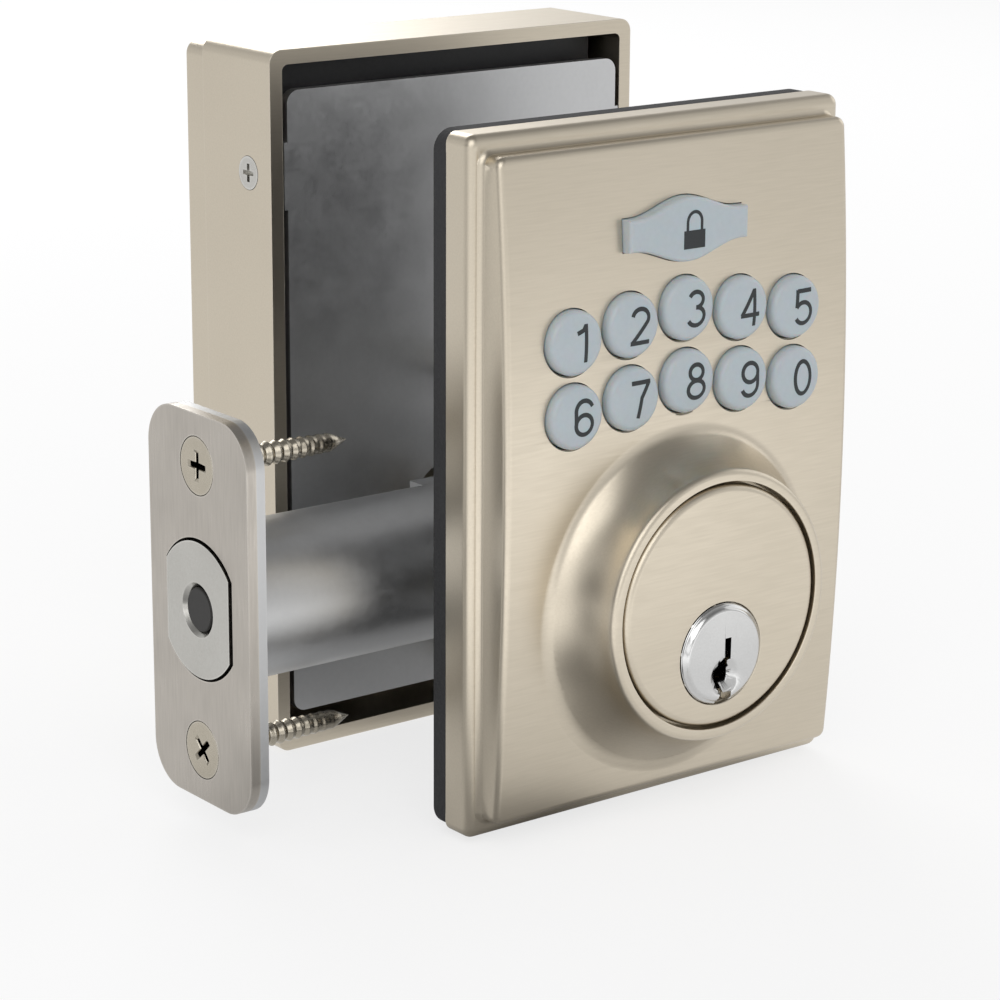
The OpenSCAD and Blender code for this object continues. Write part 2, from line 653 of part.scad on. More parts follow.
module interior_shell() {
    slab(door_t, door_t + int_body) translate([0, int_mid]) rounded_rect(int_w, int_h, 2);
    slab(door_t + 1, door_t + int_depth) intersection() {
        translate([0, int_mid]) rounded_rect(front_w, int_h - 2 * front_ledge, 2);
        translate([-40, -60]) square([80, 60 + split_z]);
    }
    for (s = [-1, 1]) {
        translate([s * 30, door_t + int_body, split_z + 1]) block([-0.5, -1, 0], [0.5, 2.6, 53]);
        translate([s * 30.4, door_t + int_body, split_z + 1]) block([-0.9, 1.6, 0], [0.9, 2.6, 53]);
    }
}

module interior_housing() color(nickel) difference() {
    interior_shell();
    slab(door_t - 1, door_t + int_body - 2) translate([0, int_mid])
        rounded_rect(int_w - 2 * wall, int_h - 2 * wall, 1);
    slab(door_t - 1, door_t + int_depth - 2)
        translate([-30, int_low + 4]) square([60, split_z - 2 - int_low - 4]);
    slab(door_t + int_body - 3, door_t + int_body + 1)
        translate([-29.5, split_z + 0.6]) square([59, int_top - wall - split_z - 0.6]);
    slab(lip_y[0] - 0.2, lip_y[1] + 0.2) translate([-10, 12]) square([20, 4]);
    rod(7.6, door_t + 20, door_t + int_depth + 1);
    for (s = [-1, 1], z = housing_screw_z) {
        rod_x(1.35, min(s * 35, s * 31), max(s * 35, s * 31), [screw_y, z]);
        translate([s * (int_w / 2 + eps), screw_y, z]) rotate([0, -s * 90, 0])
            cylinder(r1 = 2.6, r2 = 1.35, h = 1.4);
    }
}

module housing_screws() color(steel) for (s = [-1, 1], z = housing_screw_z)
    translate([s * int_w / 2, screw_y, z]) rotate([0, 0, -s * 90]) screw(2.5, 1.3, 1.2, 3.6, true);

module control_board() color(board_green) {
    slab(door_t + 3, door_t + 4.4) difference() {
        translate([0, 47.4]) square([56, 37.4], center = true);
        for (p = standoff_at) translate(p) circle(1.1);
    }
    block([-14, door_t + 1.9, 40], [-4, door_t + 3 + eps, 50]);
    for (z = [36, 42, 48, 54]) block([18, door_t + 2, z], [21, door_t + 3 + eps, z + 1.6]);
    block([7.4, door_t + 1.8, 31.4], [16.6, door_t + 3 + eps, 34.4]);
}

module board_screws() color(steel) for (p = standoff_at)
    translate([p[0], door_t + 5.2, p[1]]) screw(1.8, 0.8, 0.9, 3.8);

module battery_tray() color(black) difference() {
    block([-30, tray_y[0], tray_z[0]], [30, tray_y[1], tray_z[1]]);
    block([-28.8, tray_y[0] + 1.2, tray_z[0] + 1.2], [28.8, tray_y[1] + 1, tray_z[1] - 1.2]);
    for (x = cell_x) translate([x, cell_y, tray_z[0] + 1.2]) cylinder(r = cell_r + 0.2, h = 54);
}

// Cell with its nub at z = 0, pointing down.
module battery_cell() {
    translate([0, 0, nub]) cylinder(r = cell_r, h = can_len);
    cylinder(r = 2.7, h = nub + eps);
}

module battery_cells() color([0.16, 0.16, 0.18]) for (i = [0:3])
    translate([cell_x[i], cell_y, i % 2 == 0 ? contact_z[1] - contact_t : contact_z[0] + contact_t])
        mirror([0, 0, i % 2 == 0 ? 1 : 0]) battery_cell();

// A flat tab at each end of every cell, and a spring on the tab at its minus end.
module battery_contacts() color(chrome) for (i = [0:3]) translate([cell_x[i], cell_y, 0]) {
    for (z = [contact_z[0], contact_z[1] - contact_t])
        translate([-4.5, -4.5, z]) cube([9, 8, contact_t]);
    spring_len = contact_z[1] - contact_z[0] - 2 * contact_t - can_len - nub;
    start = i % 2 == 0 ? contact_z[0] + contact_t : contact_z[1] - contact_t - spring_len;
    coil(3.2, 0.3, 3, start, start + spring_len);
}

// Cover that slides up off two rails. Its lower end is open and butts on the fixed front.
module battery_cover() color(nickel) {
    y = [door_t + int_body + 0.2, door_t + int_depth];
    difference() {
        slab(y[0], y[1]) intersection() {
            translate([0, int_mid]) rounded_rect(front_w, int_h - 2 * front_ledge, 2);
            translate([-40, split_z + 0.3]) square([80, 80]);
        }
        slab(y[0] - 1, y[1] - 2) translate([-front_w / 2 + cover_wall, 0])
            square([front_w - 2 * cover_wall, int_top - front_ledge - 2]);
    }
    for (s = [-1, 1]) slab(y[0] + 0.1, y[0] + 1) translate([s * (front_w / 2 - 1.15), 44])
        square([2.3, 2 * (44 - split_z) - 1], center = true);
    slab(lip_y[0], lip_y[1]) translate([-9, 12.6]) square([18, 4]);
}

module gear_chassis() color(black) slab(chassis_y[0], chassis_y[1]) difference() {
    translate([0, -8.5]) square([52, 38], center = true);
    circle(turn_r + 0.1);
    translate(pinion_at) circle(1.4);
    translate(idler_at) circle(1);
    for (p = chassis_post_at) translate(p) circle(1.2);
}

module chassis_screws() color(steel) for (p = chassis_post_at)
    translate([p[0], chassis_y[1] + 1, p[1]]) screw(2.2, 1, 1, 6);

out_r = drive_m * out_teeth / 2;
idler_turn = -75;              // direction of the idler from the spindle
pinion_turn = 190;             // direction of the pinion from the idler
idler_at = (out_r + drive_m * small_teeth / 2) * [cos(idler_turn), sin(idler_turn)];
pinion_at = idler_at
    + drive_m * (large_teeth + pinion_teeth) / 2 * [cos(pinion_turn), sin(pinion_turn)];
low_gear_y = [door_t + 4.8, door_t + 7.3];
high_gear_y = [door_t + 7.8, door_t + 10.8];
turn_r = 5;                    // radius of the thumbturn's shaft
clip_y = [door_t + int_depth - 3, door_t + int_depth - 2.2];

module drive_motor() color(steel) difference() {
    union() {
        rod(10, chassis_y[1], door_t + 20.6, pinion_at);
        rod(3, door_t + 20.6 - eps, door_t + 21.4, pinion_at);
    }
    rod(1 + run, chassis_y[1] - 1, chassis_y[1] + 2, pinion_at);
}

// Each wheel is turned so that a gap faces a tooth of the wheel it meshes with.
module motor_pinion() color(brass) {
    slab(low_gear_y[0], low_gear_y[1]) translate(pinion_at)
        gear(drive_m, pinion_teeth, pinion_turn + 180);
    rod(1, low_gear_y[1] - eps, chassis_y[1] + 1.8, pinion_at);
}

module idler_gear() color([0.9, 0.9, 0.86]) difference() {
    union() {
        slab(low_gear_y[0], low_gear_y[1]) translate(idler_at)
            gear(drive_m, large_teeth, pinion_turn + 180 / large_teeth);
        slab(low_gear_y[1] - eps, high_gear_y[1]) translate(idler_at)
            gear(drive_m, small_teeth, idler_turn + 180);
    }
    rod(1 + run, door_t, door_t + 20, idler_at);
}

module idler_axle() color(steel) rod(1, in_plate_y[1], chassis_y[1], idler_at);

// Outline of the thumbturn's shaft where the output gear sits on its flat.
module d_shaft(r) {
    intersection() {
        circle(r);
        translate([-r, -r]) square([r + turn_r - 0.8, 2 * r]);
    }
}

module output_gear() color([0.9, 0.9, 0.86]) slab(high_gear_y[0], high_gear_y[1]) difference() {
    gear(drive_m, out_teeth, idler_turn + 180 / out_teeth);
    d_shaft(turn_r + run);
}

// Outline of the thumbturn's handle in Y and Z: a neck that flares to a rounded edge.
module turn_outline() {
    half = turn_len / 2;
    rose = door_t + int_depth + 2.3;
    polygon([[rose - 1, -6], [rose + 4, -7.5], [rose + 9, -half + 1.6], [rose + 9, half - 1.6],
        [rose + 4, 7.5], [rose - 1, 6]]);
    translate([rose + 9, -half + 4]) square([8, 2 * half - 8]);
    for (s = [-1, 1]) translate([rose + 13, s * (half - 4)]) circle(4);
    translate([rose + 8.5, -half + 1]) square([4.5, 2 * half - 2]);
}

module thumbturn() color(nickel) difference() {
    union() {
        slab(door_t + 2.6, high_gear_y[1] + 0.1) d_shaft(turn_r);
        rod(turn_r, high_gear_y[1] + 0.1 - eps, clip_y[0]);
        rod(turn_r - 0.6, clip_y[0] - eps, clip_y[1] + eps);
        rod(turn_r, clip_y[1], door_t + int_depth + 1);
        rod(9.6, door_t + int_depth + 0.3, door_t + int_depth + 2.3);
        slab_x(-3.6, 3.6) turn_outline();
    }
    slab(door_t, blade_end + 1) square(blade + [0.4, 0.4], center = true);
}

module thumbturn_bushing() color(black) difference() {
    rod(7.6, door_t + int_depth - 2, door_t + int_depth + 0.2);
    rod(turn_r + run, door_t + 20, door_t + int_depth + 1);
}

module thumbturn_clip() color(steel) slab(clip_y[0], clip_y[1]) sector(turn_r - 0.5, 7.2, -70, 250, 20);

// ---------------------------------------------------------------- nodes

exterior_gasket();
escutcheon();
exterior_back_plate();
back_plate_screws();
bolt_posts();
keypad_mat();
keypad_board();
keypad_board_screws();
lock_key();
for (i = [0:9]) digit_key(i);
cylinder_housing();
cylinder_screws();
cylinder_plug();
key_pins();
driver_pins();
pin_springs();
plug_clip();
plug_gear();
spindle_gear();
spindle();
faceplate();
latch_backplate();
latch_tube();
latch_case();
deadbolt();
anti_saw_pin();
bolt_link();
link_pin();
latch_hub();
wood_screws();
mounting_plate();
through_bolts();
ribbon_cable();
interior_housing();
housing_screws();
control_board();
board_screws();
battery_tray();
battery_cells();
battery_contacts();
battery_cover();
gear_chassis();
chassis_screws();
drive_motor();
motor_pinion();
idler_gear();
idler_axle();
output_gear();
thumbturn();
thumbturn_bushing();
thumbturn_clip();
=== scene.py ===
from math import acos, atan, ceil, cos, hypot, pi, radians, sin, sqrt

import bmesh
import bpy
from mathutils import Matrix, Vector


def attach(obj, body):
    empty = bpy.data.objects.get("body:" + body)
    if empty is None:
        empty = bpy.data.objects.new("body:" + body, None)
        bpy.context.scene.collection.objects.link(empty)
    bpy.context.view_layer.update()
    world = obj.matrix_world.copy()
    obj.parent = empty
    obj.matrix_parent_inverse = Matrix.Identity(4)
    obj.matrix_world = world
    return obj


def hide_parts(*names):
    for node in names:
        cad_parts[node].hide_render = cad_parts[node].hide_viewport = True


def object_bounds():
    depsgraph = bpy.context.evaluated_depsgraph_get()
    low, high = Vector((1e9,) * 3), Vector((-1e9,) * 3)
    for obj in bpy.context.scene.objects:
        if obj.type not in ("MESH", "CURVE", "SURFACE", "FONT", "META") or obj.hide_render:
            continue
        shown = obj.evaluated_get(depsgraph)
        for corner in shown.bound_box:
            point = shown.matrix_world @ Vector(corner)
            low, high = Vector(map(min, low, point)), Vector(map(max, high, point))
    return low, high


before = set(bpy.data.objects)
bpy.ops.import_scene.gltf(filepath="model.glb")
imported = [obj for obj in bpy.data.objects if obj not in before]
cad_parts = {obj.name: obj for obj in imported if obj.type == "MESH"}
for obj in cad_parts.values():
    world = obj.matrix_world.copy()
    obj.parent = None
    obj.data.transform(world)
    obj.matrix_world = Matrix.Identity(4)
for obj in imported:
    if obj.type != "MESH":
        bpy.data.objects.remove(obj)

cad_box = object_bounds()
scene = bpy.context.scene
MM = 0.001


# ---- Camera
# A long lens stands in front of the outer face, on the latch's side and a little
# above it. The lock has no cord.
turn, lift, roll = radians(-37.67), radians(15.51), radians(0.32)
backward = Vector((sin(turn) * cos(lift), -cos(turn) * cos(lift), sin(lift)))
level = Vector((0, 0, 1)).cross(backward).normalized()
upright = backward.cross(level)
rightward = level * cos(roll) + upright * sin(roll)
upward = upright * cos(roll) - level * sin(roll)
camera = bpy.data.objects.new("camera", bpy.data.cameras.new("camera"))
camera.data.sensor_width = 36
camera.data.lens = 115.38
camera.data.clip_start = 0.01
AWAY, ASIDE, ABOVE = 0.47256, 0.01757, 0.01021
stand = backward * AWAY - rightward * ASIDE + upward * ABOVE
pose = Matrix((rightward, upward, backward)).transposed().to_4x4()
camera.matrix_world = Matrix.Translation(stand) @ pose
scene.collection.objects.link(camera)
scene.camera = camera


# ---- Studio
# A pale floor under the lock, plain to the camera but with painted light and shade where
# the metal reflects it, a white surround and three soft lamps. The metal reflects a bright
# room in front of the lock and a dimmer ceiling.
scene.view_settings.view_transform = "Standard"
FLOOR_HALF, FLOOR_GAP, FLOOR_SHARE = 4, 0.0002, 0.75


def math_node(nodes, operation, *values):
    """A Math node with its unlinked inputs set."""
    node = nodes.new("ShaderNodeMath")
    node.operation = operation
    for socket, value in enumerate(values):
        if value is not None:
            node.inputs[socket].default_value = value
    return node


def range_node(nodes, start, end, low, high):
    """A smooth Map Range node from start..end to low..high."""
    node = nodes.new("ShaderNodeMapRange")
    node.interpolation_type = "SMOOTHSTEP"
    for socket, value in (("From Min", start), ("From Max", end), ("To Min", low),
                          ("To Max", high)):
        node.inputs[socket].default_value = value
    return node


def seen_white(nodes, links):
    """A socket that is 1 where the camera looks, straight or through glass, and the
    Light Path node."""
    path = nodes.new("ShaderNodeLightPath")
    either = math_node(nodes, "MAXIMUM")
    links.new(path.outputs["Is Camera Ray"], either.inputs[0])
    links.new(path.outputs["Is Transmission Ray"], either.inputs[1])
    return either.outputs[0], path


floor_mesh = bmesh.new()
bmesh.ops.create_grid(floor_mesh, x_segments=1, y_segments=1, size=FLOOR_HALF)
bmesh.ops.translate(floor_mesh, verts=floor_mesh.verts, vec=(0, 0, cad_box[0][2] - FLOOR_GAP))
floor_data = bpy.data.meshes.new("floor")
floor_mesh.to_mesh(floor_data)
floor_mesh.free()
floor = bpy.data.objects.new("floor", floor_data)
scene.collection.objects.link(floor)

floor_paint = bpy.data.materials.new("pale floor")
floor_paint.use_nodes = True
nodes, links = floor_paint.node_tree.nodes, floor_paint.node_tree.links
nodes.clear()
output = nodes.new("ShaderNodeOutputMaterial")
matt = nodes.new("ShaderNodeBsdfDiffuse")
matt.inputs["Color"].default_value = (0.94, 0.94, 0.945, 1)
white = nodes.new("ShaderNodeEmission")
direct, path = seen_white(nodes, links)
looked_at = math_node(nodes, "MAXIMUM")
links.new(direct, looked_at.inputs[0])
links.new(path.outputs["Is Glossy Ray"], looked_at.inputs[1])
share = math_node(nodes, "MULTIPLY", None, FLOOR_SHARE)
links.new(looked_at.outputs[0], share.inputs[0])
spot = nodes.new("ShaderNodeTexCoord")


def patch(centre, stretch, start, end, low, high):
    """A socket that ramps with the distance from a point of the floor, along X by less."""
    shrunk = nodes.new("ShaderNodeVectorMath")
    shrunk.operation = "MULTIPLY"
    shrunk.inputs[1].default_value = (stretch, 1, 0)
    links.new(spot.outputs["Object"], shrunk.inputs[0])
    away = nodes.new("ShaderNodeVectorMath")
    away.operation = "DISTANCE"
    away.inputs[1].default_value = (centre[0] * stretch, centre[1], 0)
    links.new(shrunk.outputs[0], away.inputs[0])
    ramp = range_node(nodes, start, end, low, high)
    links.new(away.outputs["Value"], ramp.inputs["Value"])
    return ramp.outputs[0]


def joined(operation, one, other):
    """A socket with the result of a Math node on two sockets."""
    both = math_node(nodes, operation)
    links.new(one, both.inputs[0])
    links.new(other, both.inputs[1])
    return both.outputs[0]


# In reflections the floor shows painted light and shade: painted pools of light in front of
# the lock, and painted shade beside the latch, under the lock and in front of its boss.
painted_front_light = patch((0.05, -0.28), stretch=1, start=0.05, end=0.25, low=1.9, high=0.95)
painted_left_light = patch((-0.15, -0.12), stretch=1, start=0.05, end=0.16, low=0.75, high=0)
painted_floor_light = joined("ADD", painted_front_light, painted_left_light)
# Painted shade: these patches darken the floor's glow where the metal reflects it.
for painted_shade in (
    patch((-0.2, -0.005), stretch=0.3, start=0.015, end=0.07, low=0.1, high=1),
    patch((0, 0.012), stretch=0.7, start=0.022, end=0.032, low=0.4, high=1),
    patch((-0.026, -0.014), stretch=0.6, start=0.006, end=0.016, low=0.22, high=1),
    patch((-0.053, -0.026), stretch=0.9, start=0.011, end=0.023, low=0.15, high=1),
):
    painted_floor_light = joined("MULTIPLY", painted_floor_light, painted_shade)
strength = nodes.new("ShaderNodeMix")
strength.inputs["A"].default_value = 1
links.new(path.outputs["Is Glossy Ray"], strength.inputs["Factor"])
links.new(painted_floor_light, strength.inputs["B"])
links.new(strength.outputs["Result"], white.inputs["Strength"])
blend = nodes.new("ShaderNodeMixShader")
links.new(share.outputs[0], blend.inputs[0])
links.new(matt.outputs[0], blend.inputs[1])
links.new(white.outputs[0], blend.inputs[2])
links.new(blend.outputs[0], output.inputs["Surface"])
floor_data.materials.append(floor_paint)

world = bpy.data.worlds.new("studio")
scene.world = world
world.use_nodes = True
nodes, links = world.node_tree.nodes, world.node_tree.links
nodes.clear()
output = nodes.new("ShaderNodeOutputWorld")
surround = nodes.new("ShaderNodeBackground")
direct, path = seen_white(nodes, links)
MATT_LEVEL, SEEN_LEVEL = 0.7, 1
plain = nodes.new("ShaderNodeMix")
plain.inputs["A"].default_value = MATT_LEVEL
plain.inputs["B"].default_value = SEEN_LEVEL
links.new(direct, plain.inputs["Factor"])
facing = nodes.new("ShaderNodeTexCoord")
parts = nodes.new("ShaderNodeSeparateXYZ")
links.new(facing.outputs["Object"], parts.inputs[0])
front = range_node(nodes, start=0.4, end=-0.9, low=0.95, high=1)
links.new(parts.outputs["Y"], front.inputs["Value"])
ceiling = range_node(nodes, start=0.25, end=0.9, low=1, high=0.3)
links.new(parts.outputs["Z"], ceiling.inputs["Value"])


def toward(direction, start, end, low, high):
    """A socket that ramps as the world's direction turns towards this one."""
    turned_to = nodes.new("ShaderNodeVectorMath")
    turned_to.operation = "DOT_PRODUCT"
    turned_to.inputs[1].default_value = direction
    links.new(facing.outputs["Object"], turned_to.inputs[0])
    ramp = range_node(nodes, start, end, low, high)
    links.new(turned_to.outputs["Value"], ramp.inputs["Value"])
    return ramp.outputs[0]


dark_wall = toward((-1, 0.05, 0), start=0.9, end=0.98, low=1, high=0.2)
bright_window = toward((-0.743, -0.669, 0), start=0.9, end=0.985, low=0, high=0.9)
walls = joined("MULTIPLY", front.outputs[0], dark_wall)
room = joined("MULTIPLY", joined("ADD", walls, bright_window), ceiling.outputs[0])
strength = nodes.new("ShaderNodeMix")
links.new(path.outputs["Is Glossy Ray"], strength.inputs["Factor"])
links.new(plain.outputs["Result"], strength.inputs["A"])
links.new(room, strength.inputs["B"])
links.new(strength.outputs["Result"], surround.inputs["Strength"])
links.new(surround.outputs[0], output.inputs["Surface"])


def lamp(name, place, target, size, power):
    """A square soft lamp at place that faces target."""
    light = bpy.data.lights.new(name, "AREA")
    light.size = size
    light.energy = power
    holder = bpy.data.objects.new(name, light)
    aim = (Vector(target) - Vector(place)).to_track_quat("-Z", "Y")
    holder.matrix_world = Matrix.Translation(place) @ aim.to_matrix().to_4x4()
    scene.collection.objects.link(holder)


lamp("key lamp", (-0.55, -0.7, 0.75), target=(0, 0, 0.02), size=0.9, power=3.8)
lamp("fill lamp", (1, -0.1, 0.5), target=(0, 0, 0.02), size=0.8, power=1.2)
lamp("rear lamp", (0.3, 0.9, 0.6), target=(0, 0.03, 0.02), size=0.6, power=4)


# ---- Foam gasket
# A ring of closed-cell black foam, die cut, that seals the outer housing against the
# door. It is held by the housing alone.
NOISE_LOW, NOISE_HIGH = 0.7, 1.3
EDGE_WIDTH, EDGE_START, EDGE_FULL = 0.5 * MM, 0.99, 0.8


def surface_group():
    """Shared effect: fine grain, cloudy tone and worn edges, each with its own amount."""
    group = bpy.data.node_groups.new("grain, tone and wear", "ShaderNodeTree")
    sockets = (
        ("Colour", "NodeSocketColor"), ("Second colour", "NodeSocketColor"),
        ("Worn colour", "NodeSocketColor"), ("Wear", "NodeSocketFloat"),
        ("Low roughness", "NodeSocketFloat"), ("High roughness", "NodeSocketFloat"),
        ("Grain stretch", "NodeSocketVector"), ("Grain scale", "NodeSocketFloat"),
        ("Grain depth", "NodeSocketFloat"), ("Cloud scale", "NodeSocketFloat"),
    )
    for name, kind in sockets:
        group.interface.new_socket(name, in_out="INPUT", socket_type=kind)
    for name, kind in (("Colour", "NodeSocketColor"), ("Roughness", "NodeSocketFloat"),
                       ("Normal", "NodeSocketVector")):
        group.interface.new_socket(name, in_out="OUTPUT", socket_type=kind)
    nodes, links = group.nodes, group.links
    given = nodes.new("NodeGroupInput")
    result = nodes.new("NodeGroupOutput")
    place = nodes.new("ShaderNodeTexCoord")
    stretched = nodes.new("ShaderNodeVectorMath")
    stretched.operation = "MULTIPLY"
    links.new(place.outputs["Object"], stretched.inputs[0])
    links.new(given.outputs["Grain stretch"], stretched.inputs[1])
    grain = nodes.new("ShaderNodeTexNoise")
    grain.inputs["Detail"].default_value = 3
    links.new(stretched.outputs[0], grain.inputs["Vector"])
    links.new(given.outputs["Grain scale"], grain.inputs["Scale"])
    cloud = nodes.new("ShaderNodeTexNoise")
    cloud.inputs["Detail"].default_value = 2
    links.new(place.outputs["Object"], cloud.inputs["Vector"])
    links.new(given.outputs["Cloud scale"], cloud.inputs["Scale"])
    both = math_node(nodes, "ADD")
    links.new(grain.outputs["Fac"], both.inputs[0])
    links.new(cloud.outputs["Fac"], both.inputs[1])
    tone = nodes.new("ShaderNodeMapRange")
    tone.inputs["From Min"].default_value = NOISE_LOW
    tone.inputs["From Max"].default_value = NOISE_HIGH
    links.new(both.outputs[0], tone.inputs["Value"])
    shade = nodes.new("ShaderNodeMix")
    shade.data_type = "RGBA"
    links.new(tone.outputs[0], shade.inputs["Factor"])
    links.new(given.outputs["Colour"], shade.inputs["A"])
    links.new(given.outputs["Second colour"], shade.inputs["B"])
    rounded = nodes.new("ShaderNodeBevel")
    rounded.samples = 4
    rounded.inputs["Radius"].default_value = EDGE_WIDTH
    flat = nodes.new("ShaderNodeNewGeometry")
    bend = nodes.new("ShaderNodeVectorMath")
    bend.operation = "DOT_PRODUCT"
    links.new(rounded.outputs[0], bend.inputs[0])
    links.new(flat.outputs["Normal"], bend.inputs[1])
    edge = nodes.new("ShaderNodeMapRange")
    edge.inputs["From Min"].default_value = EDGE_START
    edge.inputs["From Max"].default_value = EDGE_FULL
    links.new(bend.outputs["Value"], edge.inputs["Value"])
    patchy = math_node(nodes, "MULTIPLY")
    links.new(edge.outputs[0], patchy.inputs[0])
    links.new(cloud.outputs["Fac"], patchy.inputs[1])
    worn = math_node(nodes, "MULTIPLY")
    links.new(patchy.outputs[0], worn.inputs[0])
    links.new(given.outputs["Wear"], worn.inputs[1])
    rubbed = nodes.new("ShaderNodeMix")
    rubbed.data_type = "RGBA"
    links.new(worn.outputs[0], rubbed.inputs["Factor"])
    links.new(shade.outputs["Result"], rubbed.inputs["A"])
    links.new(given.outputs["Worn colour"], rubbed.inputs["B"])
    rough = nodes.new("ShaderNodeMapRange")
    rough.inputs["From Min"].default_value = NOISE_LOW
    rough.inputs["From Max"].default_value = NOISE_HIGH
    links.new(both.outputs[0], rough.inputs["Value"])
    links.new(given.outputs["Low roughness"], rough.inputs["To Min"])
    links.new(given.outputs["High roughness"], rough.inputs["To Max"])
    bump = nodes.new("ShaderNodeBump")
    links.new(grain.outputs["Fac"], bump.inputs["Height"])
    links.new(given.outputs["Grain depth"], bump.inputs["Distance"])
    links.new(rubbed.outputs["Result"], result.inputs["Colour"])
    links.new(rough.outputs[0], result.inputs["Roughness"])
    links.new(bump.outputs[0], result.inputs["Normal"])
    return group


SURFACE = surface_group()


def finish(name, colour, second, rough, metal=0, grain=(1, 1, 1), scale=2500, depth=0.02,
           cloud=60, worn=None, wear=0.0, **constants):
    """A material of two close colours with grain and wear; constants go on the shader."""
    material = bpy.data.materials.new(name)
    material.use_nodes = True
    nodes, links = material.node_tree.nodes, material.node_tree.links
    shader = nodes["Principled BSDF"]
    shader.inputs["Metallic"].default_value = metal
    for socket, value in constants.items():
        shader.inputs[socket.replace("_", " ")].default_value = value
    effect = nodes.new("ShaderNodeGroup")
    effect.node_tree = SURFACE
    for socket, value in (
        ("Colour", (*colour, 1)), ("Second colour", (*second, 1)),
        ("Worn colour", (*(worn or colour), 1)), ("Wear", wear),
        ("Low roughness", rough[0]), ("High roughness", rough[1]), ("Grain stretch", grain),
        ("Grain scale", scale), ("Grain depth", depth * MM), ("Cloud scale", cloud),
    ):
        effect.inputs[socket].default_value = value
    links.new(effect.outputs["Colour"], shader.inputs["Base Color"])
    links.new(effect.outputs["Roughness"], shader.inputs["Roughness"])
    links.new(effect.outputs["Normal"], shader.inputs["Normal"])
    return material


def dress(material, *names):
    """The CAD solids keep their shape and take this material."""
    for name in names:
        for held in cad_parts[name].material_slots:
            held.material = material


foam = finish("closed-cell foam", (0.022, 0.022, 0.024), (0.04, 0.04, 0.042), (0.8, 0.95),
              scale=1800, depth=0.12)
dress(foam, "exterior_gasket")


# ---- Outer housing
# Cast zinc with a brushed satin nickel finish: a narrow ledge, a front plate arched from
# top to bottom, and a round boss that flares out of it. Screws hold it from behind.
MIDDLE_Z = 18
HOUSING_WIDE, HOUSING_TALL, HOUSING_CORNER = 68, 100.8, 1.6
LEDGE_Y, LEDGE_RIM = 8, 1.45
PLATE_WIDE, PLATE_TALL, PLATE_CORNER, PLATE_RIM = 63.8, 95.4, 1.4, 1.0
PLATE_Y, ARCH_HALF, ARCH_DROP = 13.9, 47.7, 2.2


def face_y(z):
    """Depth of the arched front plate at height z, in millimetres from the door."""
    arch_radius = (ARCH_HALF ** 2 + ARCH_DROP ** 2) / (2 * ARCH_DROP)
    return PLATE_Y - arch_radius + sqrt(arch_radius ** 2 - (z - MIDDLE_Z) ** 2)


def scaled(bm):
    """Millimetres become metres."""
    bmesh.ops.scale(bm, vec=(MM, MM, MM), verts=bm.verts)


def new_object(name, bm):
    """An object of the finished bmesh, at the origin."""
    mesh = bpy.data.meshes.new(name)
    bm.to_mesh(mesh)
    bm.free()
    thing = bpy.data.objects.new(name, mesh)
    scene.collection.objects.link(thing)
    return thing


def shaded(thing, material, angle=30):
    """Smooth over the curves, sharp at edges past this angle."""
    thing.data.materials.clear()
    thing.data.materials.append(material)
    thing.data.shade_smooth()
    thing.data.set_sharp_from_angle(angle=radians(angle))
    even = thing.modifiers.new("even shading", "WEIGHTED_NORMAL")
    even.keep_sharp = True
    even.weight = 80


def turned(profile, at=(0, 0), steps=96):
    """A solid of revolution about Y through at = (x, z), from (radius, y) in millimetres."""
    bm = bmesh.new()
    points = [bm.verts.new((radius, y, 0)) for radius, y in profile]
    lines = [bm.edges.new(pair) for pair in zip(points, points[1:])]
    bmesh.ops.spin(bm, geom=points + lines, axis=(0, 1, 0), cent=(0, 0, 0), angle=2 * pi,
                   steps=steps, use_merge=True)
    bmesh.ops.remove_doubles(bm, verts=bm.verts, dist=1e-4)
    bmesh.ops.translate(bm, verts=bm.verts, vec=(at[0], 0, at[1]))
    bmesh.ops.recalc_face_normals(bm, faces=bm.faces)
    scaled(bm)
    return bm


def panel(width, height, middle, corner, back_y, front, edge, rows=1, rounds=4, bulge=0.5):
    """A slab with rounded corners from back_y to the depth that front(z) gives, its front
    rim rounded by edge, or hollowed where bulge is small."""
    bm = bmesh.new()
    bmesh.ops.create_grid(bm, x_segments=1, y_segments=rows, size=0.5)
    bmesh.ops.scale(bm, vec=(width, height, 1), verts=bm.verts)
    corners = [v for v in bm.verts if len(v.link_edges) == 2]
    bmesh.ops.bevel(bm, geom=corners, offset=corner, offset_type="OFFSET", segments=6,
                    profile=0.5, affect="VERTICES", material=-1)
    bmesh.ops.rotate(bm, verts=bm.verts, matrix=Matrix.Rotation(pi / 2, 3, "X"))
    bmesh.ops.translate(bm, verts=bm.verts, vec=(0, 0, middle))
    sheet = bmesh.ops.extrude_face_region(bm, geom=bm.faces[:])
    moved = [v for v in sheet["geom"] if isinstance(v, bmesh.types.BMVert)]
    for vert in moved:
        vert.co.y = -front(vert.co.z)
    for vert in set(bm.verts) - set(moved):
        vert.co.y = -back_y
    bmesh.ops.recalc_face_normals(bm, faces=bm.faces)
    rim = [e for e in bm.edges if e.calc_face_angle(0) > 1
           and all(v in moved for v in e.verts)]
    if edge:
        bmesh.ops.bevel(bm, geom=rim, offset=edge, offset_type="OFFSET", segments=rounds,
                        profile=bulge, affect="EDGES", clamp_overlap=True, material=-1)
    scaled(bm)
    return bm


CAD_MERGE, MERGE, FLAT_ANGLE = 2e-6, 1e-6, radians(0.2)


def cad_copy(node):
    """The CAD solid's surface with its triangles joined."""
    bm = bmesh.new()
    bm.from_mesh(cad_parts[node].data)
    bmesh.ops.remove_doubles(bm, verts=bm.verts, dist=CAD_MERGE)
    bmesh.ops.dissolve_limit(bm, verts=bm.verts, edges=bm.edges, angle_limit=FLAT_ANGLE)
    return bm


